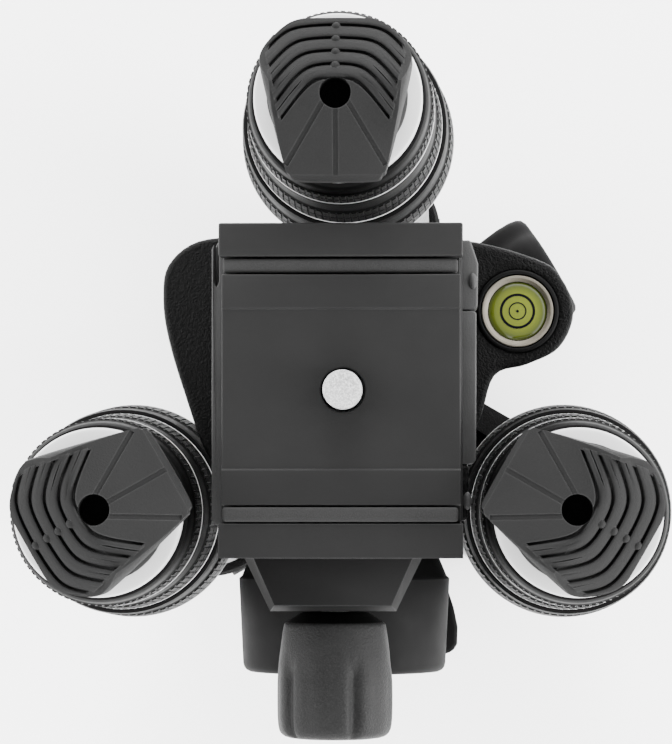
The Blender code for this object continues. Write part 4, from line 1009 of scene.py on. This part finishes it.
def makeCollar(number):
    radius, low, high, band, slant = read(collarValues[number], "radius", "low", "high", "band", "slant")
    cone, bore, foot = max(0.6 + slant, 0.95), radius - 2.4, low + 1.2
    seam, middle = foot + band / 2, radius - 0.25 - slant / 2
    profile = [(bore, low), (radius - 0.9, low), (radius - 0.35, low + 0.25), (radius - 0.1, low + 0.9)]
    profile += [(radius - 0.25, foot), (middle, seam - 0.25), (middle - 0.25, seam - 0.12)]
    profile += [(middle - 0.25, seam + 0.12), (middle, seam + 0.25), (radius - 0.25 - slant, foot + band)]
    profile += [(radius - 0.45 - slant, low + 1.5 + band), (radius - 0.55 - slant, low + 2.2 + band)]
    profile += [(radius - cone, high - 2.0), (radius - cone - 0.2, high - 0.7)]
    profile += [(radius - 1.5, high - 0.15), (radius - 2.0, high), (bore, high)]
    collar = turnedRing(f"collar_{number}", profile, knurlValues["count"], legAxis)

    def onBand(centre, normal):
        out = Vector((centre.x, centre.y - legCircle)).length
        inBand = foot + 0.1 < centre.z < foot + band - 0.1 and abs(centre.z - seam) >= 0.3
        return inBand and out > radius - 1 and abs(normal.z) < 0.2

    pickWhere(collar, onBand, "FACE")
    inset, slope, depth = (knurlValues[key] * mm for key in ("inset", "slope", "depth"))
    bpy.ops.mesh.inset(thickness=inset, depth=0, use_individual=True)
    bpy.ops.mesh.inset(thickness=slope, depth=depth, use_individual=True)
    clearPick()
    body = f"lock_{number}"
    onEachLeg(smooth(collar, 30), f"collar_{number}_dressed", body, "grip", "collar_grip", f"collar_{number}")
    # a bright ring at the collar's lower edge that stands for the thin edge highlight: painted highlight
    profile = [(radius - 1.2, low - 0.35), (radius - 0.5, low - 0.35), (radius - 0.02, low - 0.1)]
    profile += [(radius - 0.02, low + 0.3), (radius - 0.4, low + 0.6), (radius - 1.2, low + 0.6)]
    rim = turnedRing(f"collar_highlight_rim_{number}", profile, 96, legAxis)
    onEachLeg(smooth(rim, 40), f"collar_{number}_rim", body, "bright", "bright_metal")


makeFoot()
makeRing()
for number in collarValues:
    makeCollar(number)
print("feet, rings and collars made")


# Tubes, shoulders, hinges and latches of the legs

tubeValues = {"parts": ("upper", "second", "third", "fourth"), "wall": 1.2, "edge": 0.25, "steps": 96}


def spanOf(node):  # lowest and highest corner of a CAD node, in mm
    return [Vector(corner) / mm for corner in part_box(node)]


def tubeTurned(name, outer, wall, low, high, centre):
    inner, edge = outer - wall, tubeValues["edge"]
    profile = [(outer, low + edge), (outer, high - edge), (outer - edge, high), (inner + edge, high)]
    profile += [(inner, high - edge), (inner, low + edge), (inner + edge, low), (outer - edge, low)]
    return smooth(turnedRing(name, profile, tubeValues["steps"], centre), 40)


def makeTubes():
    for part in tubeValues["parts"]:
        low, high = spanOf(f"leg_a_{part}_tube")
        outer = (high.x - low.x) / 2
        tube = tubeTurned(f"{part}_tube", outer, tubeValues["wall"], low.z, high.z, legAxis)
        onEachLeg(tube, f"{part}_tube_dressed", part, "tube", "tube_black", f"{part}_tube")


yokeValues = {
    "hinge": (38.0, 16.0),
    "hingeRadius": 16.0,
    "tongue": 10.0,
    "pinHole": 3.3,
    "radius": 17.0,
    "bottom": 31.0,
    "floor": 36.0,
    "top": 56.0,
    "bore": 14.6,
    "neck": (-9.7, 9.7, 30.3, 53.7, 16.0, 33.0),
    "boss": (-8.5, 8.5, 59.9, 63.5, 33.0, 54.0),
    "slot": (-6.3, 6.3, 61.1, 66.0, 35.5, 60.0),
    "edge": 0.6,
}


def hingeBar(name, radius, reach, edge=0.0):  # lies along X through the hinge
    profile = [(0, -reach), (radius - edge, -reach), (radius, edge - reach)]
    profile += [(radius, reach - edge), (radius - edge, reach), (0, reach)]
    return turned(name, profile, 72, (0, *yokeValues["hinge"]), (1, 0, 0))


def makeYoke():
    low, high, floor, radius, bore = read(yokeValues, "bottom", "top", "floor", "radius", "bore")
    profile = [(0, low), (radius - 2, low), (radius, low + 2), (radius, high - 4.0)]
    profile += [(radius - 0.5, high - 3.4), (radius - 0.5, high - 2.6), (radius, high - 2.0)]
    profile += [(radius, high - 0.8), (radius - 0.8, high), (bore, high), (bore, floor), (0, floor)]
    yoke = turned("yoke", profile, 72, legAxis)
    cutAway(yoke, hingeBar("shoulder", yokeValues["hingeRadius"], yokeValues["tongue"], 0.5), "UNION")
    cutAway(yoke, block("neck", *yokeValues["neck"]), "UNION")
    cutAway(yoke, block("boss", *yokeValues["boss"]), "UNION")
    cutAway(yoke, block("slot", *yokeValues["slot"]))
    cutAway(yoke, hingeBar("pin_hole", yokeValues["pinHole"], 14.0))
    eased(yoke, yokeValues["edge"], 3, 40, 50)
    onEachLeg(yoke, "yoke_dressed", "upper", "cast", "cast_black", "yoke")


pinValues = {"radius": 3.0, "head": 4.5, "inside": 17.3, "end": 18.8, "socket": 1.7}


def makePin():
    radius, head, inside, end, socket = read(pinValues, "radius", "head", "inside", "end", "socket")
    half = [(0, end - 0.9), (socket, end - 0.9), (socket, end - 0.15), (socket + 0.15, end)]
    half += [(head - 0.8, end), (head - 0.2, end - 0.3), (head, end - 0.8), (head, inside), (radius, inside)]
    profile = [(out, -along) for out, along in half] + half[::-1]
    pin = turned("hinge_pin", profile, 48, (0, *yokeValues["hinge"]), (1, 0, 0))
    onEachLeg(smooth(pin, 40), "pin_dressed", "spider", "bright", "steel", "hinge_pin")


latchValues = {
    "half": 6.0,
    "back": 61.4,
    "front": 63.5,
    "low": 35.8,
    "high": 47.3,
    "lip": 1.2,
    "ridges": 4,
    "firstRidge": 3.3,
    "pitch": 1.3,
}


def makeLatch():
    back, front, low, high, lip = read(latchValues, "back", "front", "low", "high", "lip")
    line = [(back, low), (front, low), (front + lip / 2, low + lip), (front, low + 2 * lip)]
    for ridge in range(latchValues["ridges"]):
        z = low + latchValues["firstRidge"] + latchValues["pitch"] * ridge
        line += [(front, z), (front - 0.35, z + 0.3), (front - 0.35, z + 0.6), (front, z + 0.9)]
    line += [(front, high - 2 * lip), (front + lip, high - lip), (front + lip, high), (back, high)]
    latch = eased(barAcross("latch", line, -latchValues["half"], latchValues["half"]), 0.25, 2, 30, 45)
    onEachLeg(latch, "latch_dressed", "latch", "satin", "knob_grey", "angle_latch")


makeTubes()
makeYoke()
makePin()
makeLatch()
print("leg tubes, shoulders, pins and latches")


# Column and the casting that carries the legs

spiderValues = {
    "bore": 12.8,
    "radius": 20.0,
    "low": 3.0,
    "high": 40.0,
    "earRoot": 14.4,
    "earRadius": 13.0,
    "ears": ((-17.0, -10.3), (10.3, 17.0)),
    "edge": 0.7,
}


def makeSpider():
    bore, radius, low, high = read(spiderValues, "bore", "radius", "low", "high")
    root, reach = read(spiderValues, "earRoot", "earRadius")
    profile = [(bore, low), (radius - 1.5, low), (radius, low + 1.5), (radius, high - 6.0)]
    profile += [(radius - 0.7, high - 5.2), (radius - 0.7, high - 4.4), (radius, high - 3.6)]
    profile += [(radius, high - 1.5), (radius - 1.5, high), (bore, high)]
    spider = turnedRing("spider_dressed", profile, 72)
    y, z = yokeValues["hinge"]
    outline = [(root, z - reach)]
    for angle in range(-90, 91, 9):
        turn = math.radians(angle)
        outline.append((y + reach * math.cos(turn), z + reach * math.sin(turn)))
    outline.append((root, z + reach))
    for degrees in legTurns.values():
        for left, right in spiderValues["ears"]:
            ear = barAcross("ear", outline, left, right)
            cutAway(spider, placed(ear, (0, 0, 0), (0, 0, degrees)), "UNION")
        hole = hingeBar("ear_hole", yokeValues["pinHole"], 22.0)
        cutAway(spider, placed(hole, (0, 0, 0), (0, 0, degrees)))
    dress(eased(spider, spiderValues["edge"], 3, 40, 50), "spider", "cast", "cast_black", "spider")


columnValues = {
    "radius": 12.5,
    "wall": 1.5,
    "low": 9.3,
    "high": 261.7,
    "cap": 9.0,
    "capHollow": [(0, 1.0), (5.0, 1.0), (5.4, 0.6), (5.6, 0)],
    "plateRadius": 20.0,
    "plateLow": 262.0,
    "plateHigh": 268.0,
}


def makeColumn():
    radius, wall, low, high, cap = read(columnValues, "radius", "wall", "low", "high", "cap")
    tube = tubeTurned("column_tube_dressed", radius, wall, low, high, (0, 0, 0))
    dress(tube, "column", "tube", "tube_black", "column_tube")
    profile = columnValues["capHollow"] + [(radius - 1.5, 0), (radius - 0.5, 0.4), (radius, 1.5)]
    profile += [(radius, 5.8), (radius - 0.5, 6.2), (radius - 0.5, 6.8), (radius, 7.2)]
    profile += [(radius, cap - 0.3), (radius - 0.3, cap), (0, cap)]
    piece = turned("column_cap_dressed", profile, 72)
    dress(smooth(piece, 45), "column", "cast", "cast_black", "column_cap")
    reach, low, top = read(columnValues, "plateRadius", "plateLow", "plateHigh")
    profile = [(0, low), (reach - 1.8, low), (reach - 0.6, low + 0.5), (reach, low + 1.7), (reach, low + 3.0)]
    profile += [(reach - 0.4, low + 3.3), (reach - 0.4, low + 3.7), (reach, low + 4.0), (reach, top - 0.3)]
    plate = turned("column_plate_dressed", profile + [(reach - 0.3, top), (0, top)], 96)
    dress(smooth(plate, 45), "column", "cast", "cast_black", "column_plate")


twistValues = {
    "radius": 19.5,
    "bore": 12.8,
    "low": 40.4,
    "high": 60.0,
    "ribs": 16,
    "perRib": 8,
    "groove": 0.955,
    "edge": 0.18,
}


def makeColumnCollar():
    radius, bore, low, high = read(twistValues, "radius", "bore", "low", "high")
    ribs, steps = read(twistValues, "ribs", "perRib")
    profile = [(bore, low), (radius - 1.3, low), (radius - 0.5, low + 0.35), (radius, low + 1.2)]
    profile += [(radius, low + 2.2), (radius, high - 4.6), (radius - 0.1, high - 3.8)]
    profile += [(radius - 0.6, high - 2.2), (radius - 1.6, high - 0.5), (radius - 2.4, high), (bore, high)]
    collar = turnedRing("column_collar_dressed", profile, ribs * steps)
    share = 360 / ribs

    def inGroove(point):
        onWall = low + 2 < point.z < high - 3.5 and point.xy.length > radius - 0.3
        return onWall and abs(bearing(point) % share - share / 2) < 1.1 * share / steps

    pickWhere(collar, inGroove)
    narrowPicked(twistValues["groove"])
    clearPick()
    eased(collar, twistValues["edge"], 2, 28, 45)
    dress(collar, "column_lock", "grip", "collar_grip", "column_collar")


makeSpider()
makeColumn()
makeColumnCollar()
print("column and leg casting")


# Ball, its cup and the two locking knobs

forwards = (0, -1, 0)
cupValues = {
    "radius": 21.5,
    "baseLow": 268.3,
    "baseHigh": 274.7,
    "low": 275.0,
    "high": 312.2,
    "ball": 16.0,
    "ballCentre": 305.2,
    "clearance": 0.3,
    "lock": (-0.5, 0, 299.2),
    "lockBoss": 12.5,
    "lockBossEnd": 32.5,
    "lockHole": 18.9,
    "pan": (0, 0, 283.5),
    "panDirection": 31.0,
    "panBoss": 6.5,
    "panBossEnd": 28.5,
    "panHole": 10.8,
    "bolt": 2.5,
    "ticks": 72,
    "tickInset": 0.05,
    "tickDepth": 0.15,
    "edge": 0.35,
}
panTurn = math.radians(cupValues["panDirection"])
panWay = (math.cos(panTurn), math.sin(panTurn), 0)


def arcPoints(radius, centre, start, end, steps):
    points = []
    for step in range(steps + 1):
        angle = math.radians(start + (end - start) * step / steps)
        points.append((radius * math.cos(angle), centre + radius * math.sin(angle)))
    return points


def makePanBase():
    radius, low, high, ticks = read(cupValues, "radius", "baseLow", "baseHigh", "ticks")
    profile = [(0, low), (radius - 2.2, low), (radius - 0.7, low + 0.6), (radius, low + 2.0)]
    profile += [(radius, low + 3.4), (radius, high - 0.5), (radius - 0.3, high), (0, high)]
    base = turned("pan_base_dressed", profile, 4 * ticks)
    wide = 360 / ticks

    def onTick(centre, normal):  # every fourth facet of the upright band
        onWall = low + 3.4 < centre.z < high - 0.5 and centre.xy.length > radius - 0.2
        return onWall and bearing(centre) % wide < wide / 4

    pickWhere(base, onTick, "FACE")
    inset, depth = cupValues["tickInset"] * mm, -cupValues["tickDepth"] * mm
    bpy.ops.mesh.inset(thickness=inset, depth=depth, use_individual=True)
    clearPick()
    dress(smooth(base, 40), "column", "anodised", "cast_black", "pan_base")


def makeCup():
    radius, low, high, centre = read(cupValues, "radius", "low", "high", "ballCentre")
    socket, hole = (cupValues[key] + cupValues["clearance"] for key in ("ball", "bolt"))
    lip = math.degrees(math.asin((high - centre) / socket))
    profile = [(0, low), (radius - 0.4, low), (radius, low + 0.4), (radius, low + 3.4)]
    profile += [(radius - 0.4, low + 3.8), (radius - 0.4, low + 4.4), (radius, low + 4.8)]
    profile += [(radius, high - 4.0), (radius - 0.5, high - 2.4), (radius - 1.6, high - 1.1)]
    profile += [(radius - 3.2, high - 0.3), (radius - 4.2, high), *arcPoints(socket, centre, lip, -90, 28)]
    profile[-1] = (0, profile[-1][1])
    cup = turned("ball_housing_dressed", profile, 96)
    lock, boss, lockEnd, lockStart = read(cupValues, "lock", "lockBoss", "lockBossEnd", "lockHole")
    profile = [(0, lockStart), (boss, lockStart), (boss, lockEnd - 0.8), (boss - 0.8, lockEnd), (0, lockEnd)]
    cutAway(cup, turned("lock_boss", profile, 72, lock, forwards), "UNION")
    pan, boss, panEnd, panStart = read(cupValues, "pan", "panBoss", "panBossEnd", "panHole")
    profile = [(0, 12), (boss, 12), (boss, panEnd - 0.5), (boss - 0.5, panEnd), (0, panEnd)]
    cutAway(cup, turned("pan_boss", profile, 48, pan, panWay), "UNION")
    cutAway(cup, rod("bolt_hole", hole, lockStart, lockEnd + 2, 32, lock, forwards))
    cutAway(cup, rod("bolt_hole", hole, panStart, panEnd + 2, 32, pan, panWay))
    eased(cup, cupValues["edge"], 2, 42, 50)
    dress(cup, "head_housing", "cast", "cast_black", "ball_housing")


stemValues = {"radius": 8.5, "flange": 13.0}


def makeBall():
    centre, radius = read(cupValues, "ballCentre", "ball")
    arc = arcPoints(radius, centre, -90, 90, 48)
    arc[0], arc[-1] = (0, centre - radius), (0, centre + radius)
    ball = turned("ball_dressed", arc, 96)
    dress(smooth(ball, 60), "head_top", "ball", "bright_metal", "ball")
    low, high = (corner.z for corner in spanOf("ball_stem"))
    thin, wide = read(stemValues, "radius", "flange")
    profile = [(0, low), (thin, low), (thin, high - 7.4), (8.8, high - 6.2), (9.6, high - 5.0)]
    profile += [(10.9, high - 4.0), (12.4, high - 3.4), (wide, high - 2.8), (wide, high - 0.4)]
    neck = turned("ball_stem_dressed", profile + [(12.6, high), (0, high)], 72)
    dress(smooth(neck, 45), "head_top", "satin", "anodised_grey", "ball_stem")


boltValues = {"thread": 0.8, "depth": 0.3, "tip": 0.5, "plain": 1.2}


def makeBolt(name, run, centre, way, body, node):  # shallow thread rings along a rod
    (start, end), radius = run, cupValues["bolt"]
    pitch, depth, tip, plain = read(boltValues, "thread", "depth", "tip", "plain")
    profile = [(0, start), (radius - tip, start), (radius, start + tip)]
    turn = start + plain
    while turn < end - plain:
        profile += [(radius, turn), (radius - depth, turn + pitch / 2), (radius, turn + pitch)]
        turn += pitch
    profile += [(radius, end - depth), (radius - depth, end), (0, end)]
    dress(smooth(turned(name, profile, 32, centre, way), 20), body, "bright", "steel", node)


lockKnobValues = {
    "skirt": 30.7,
    "skirtRadius": 16.9,
    "skirtBore": 13.3,
    "start": 34.2,
    "floor": 33.2,
    "end": 51.0,
    "root": 18.8,
    "tip": 18.0,
    "bore": 2.8,
    "boreEnd": 48.6,
    "boltRun": (19.5, 48.3),
    "wing": [  # out from the knob's axis and forwards, seen from above
        (17.0, 34.4), (18.6, 37.0), (19.6, 40.0), (20.3, 43.4), (20.2, 46.4),
        (19.4, 47.8), (16.5, 48.6), (8.0, 48.6), (8.0, 34.4),
    ],
    "wingDrop": (-13.0, -4.0),
    "wingEdge": 0.8,
}


def makeLockKnob():
    start, end, root, tip = read(lockKnobValues, "start", "end", "root", "tip")
    bore, boreEnd, floor = read(lockKnobValues, "bore", "boreEnd", "floor")
    skirt, skirtRadius, skirtBore = read(lockKnobValues, "skirt", "skirtRadius", "skirtBore")
    profile = [(bore, boreEnd), (bore, floor), (skirtBore, floor), (skirtBore, skirt), (skirtRadius, skirt)]
    profile += [(root - 0.5, start - 0.15), (root - 0.25, start), (root, start + 0.3)]
    profile += [(root - 0.05, start + 1.2), (tip + 0.06, end - 1.5), (tip - 0.12, end - 0.8)]
    profile += [(tip - 0.5, end - 0.3), (tip - 1.1, end), (tip - 2.6, end), (tip - 3.0, end - 0.5)]
    profile += [(tip - 5.0, end - 0.7), (4.5, end - 0.8), (4.0, end - 1.2), (0, end - 1.2), (0, boreEnd)]
    lock = cupValues["lock"]
    knob = turnedRing("lock_knob_dressed", profile, 128, lock, forwards)
    dress(smooth(knob, 40), "ball_lock", "satin", "knob_grey", "lock_knob")
    # the knob's end towards the housing, under the jaw, is painted near-black: painted shadow
    secondFinish(knob, "shadow", lambda y: y > 0.05 - start)
    low, high = lockKnobValues["wingDrop"]
    plan = [(lock[0] + out, -run) for out, run in lockKnobValues["wing"]]
    wing = slab("lock_knob_wing", plan, lock[2] + low, high - low)
    dress(eased(wing, lockKnobValues["wingEdge"], 3, 40, 50), "ball_lock", "satin", "knob_grey")
    makeBolt("lock_bolt_dressed", lockKnobValues["boltRun"], lock, forwards, "ball_lock", "lock_bolt")


panKnobValues = {
    "start": 29.5,
    "end": 43.3,
    "radius": 10.8,
    "lobes": 5,
    "depth": 1.2,
    "perLobe": 16,
    "bore": 2.8,
    "boltRun": (11.05, 39.4),
    "rows": [  # share of the length, of the radius and of the notches' depth
        (0.0, 0.62, 0.0), (0.02, 0.76, 0.2), (0.08, 0.85, 0.6), (0.18, 0.92, 1.0),
        (0.38, 0.97, 1.0), (0.62, 1.0, 1.0), (0.80, 1.0, 1.0), (0.90, 0.975, 0.95),
        (0.96, 0.93, 0.8), (0.99, 0.85, 0.5), (1.0, 0.70, 0.2),
    ],
}


def makePanKnob():
    start, end, radius, lobes, depth = read(panKnobValues, "start", "end", "radius", "lobes", "depth")
    count, pan = lobes * panKnobValues["perLobe"], cupValues["pan"]
    rings = []
    for run, share, strength in panKnobValues["rows"]:
        ring = []
        for step in range(count):
            angle = fullTurn * step / count
            wave = (0.5 - 0.5 * math.cos(lobes * angle)) ** 1.6
            reach = radius * share - depth * strength * wave
            ring.append((reach * math.cos(angle), reach * math.sin(angle), start + (end - start) * run))
        rings.append(ring)
    knob = lofted("pan_knob_dressed", rings)
    cutAway(knob, rod("pan_bore", panKnobValues["bore"], start - 2, end - 3.6, 32))
    knob.location = Vector(pan) * mm
    knob.rotation_euler = Vector(panWay).to_track_quat("Z", "Y").to_euler()
    dress(smooth(freeze(knob), 50), "pan_lock", "satin", "knob_grey", "pan_knob")
    makeBolt("pan_bolt_dressed", panKnobValues["boltRun"], pan, panWay, "pan_lock", "pan_bolt")


makePanBase()
makeCup()
makeBall()
makeLockKnob()
makePanKnob()
run, centre = clampValues["boltRun"], clampValues["bolt"]
makeBolt("clamp_bolt_dressed", run, centre, forwards, "clamp_screw", "clamp_bolt")
print("ball head and knobs")
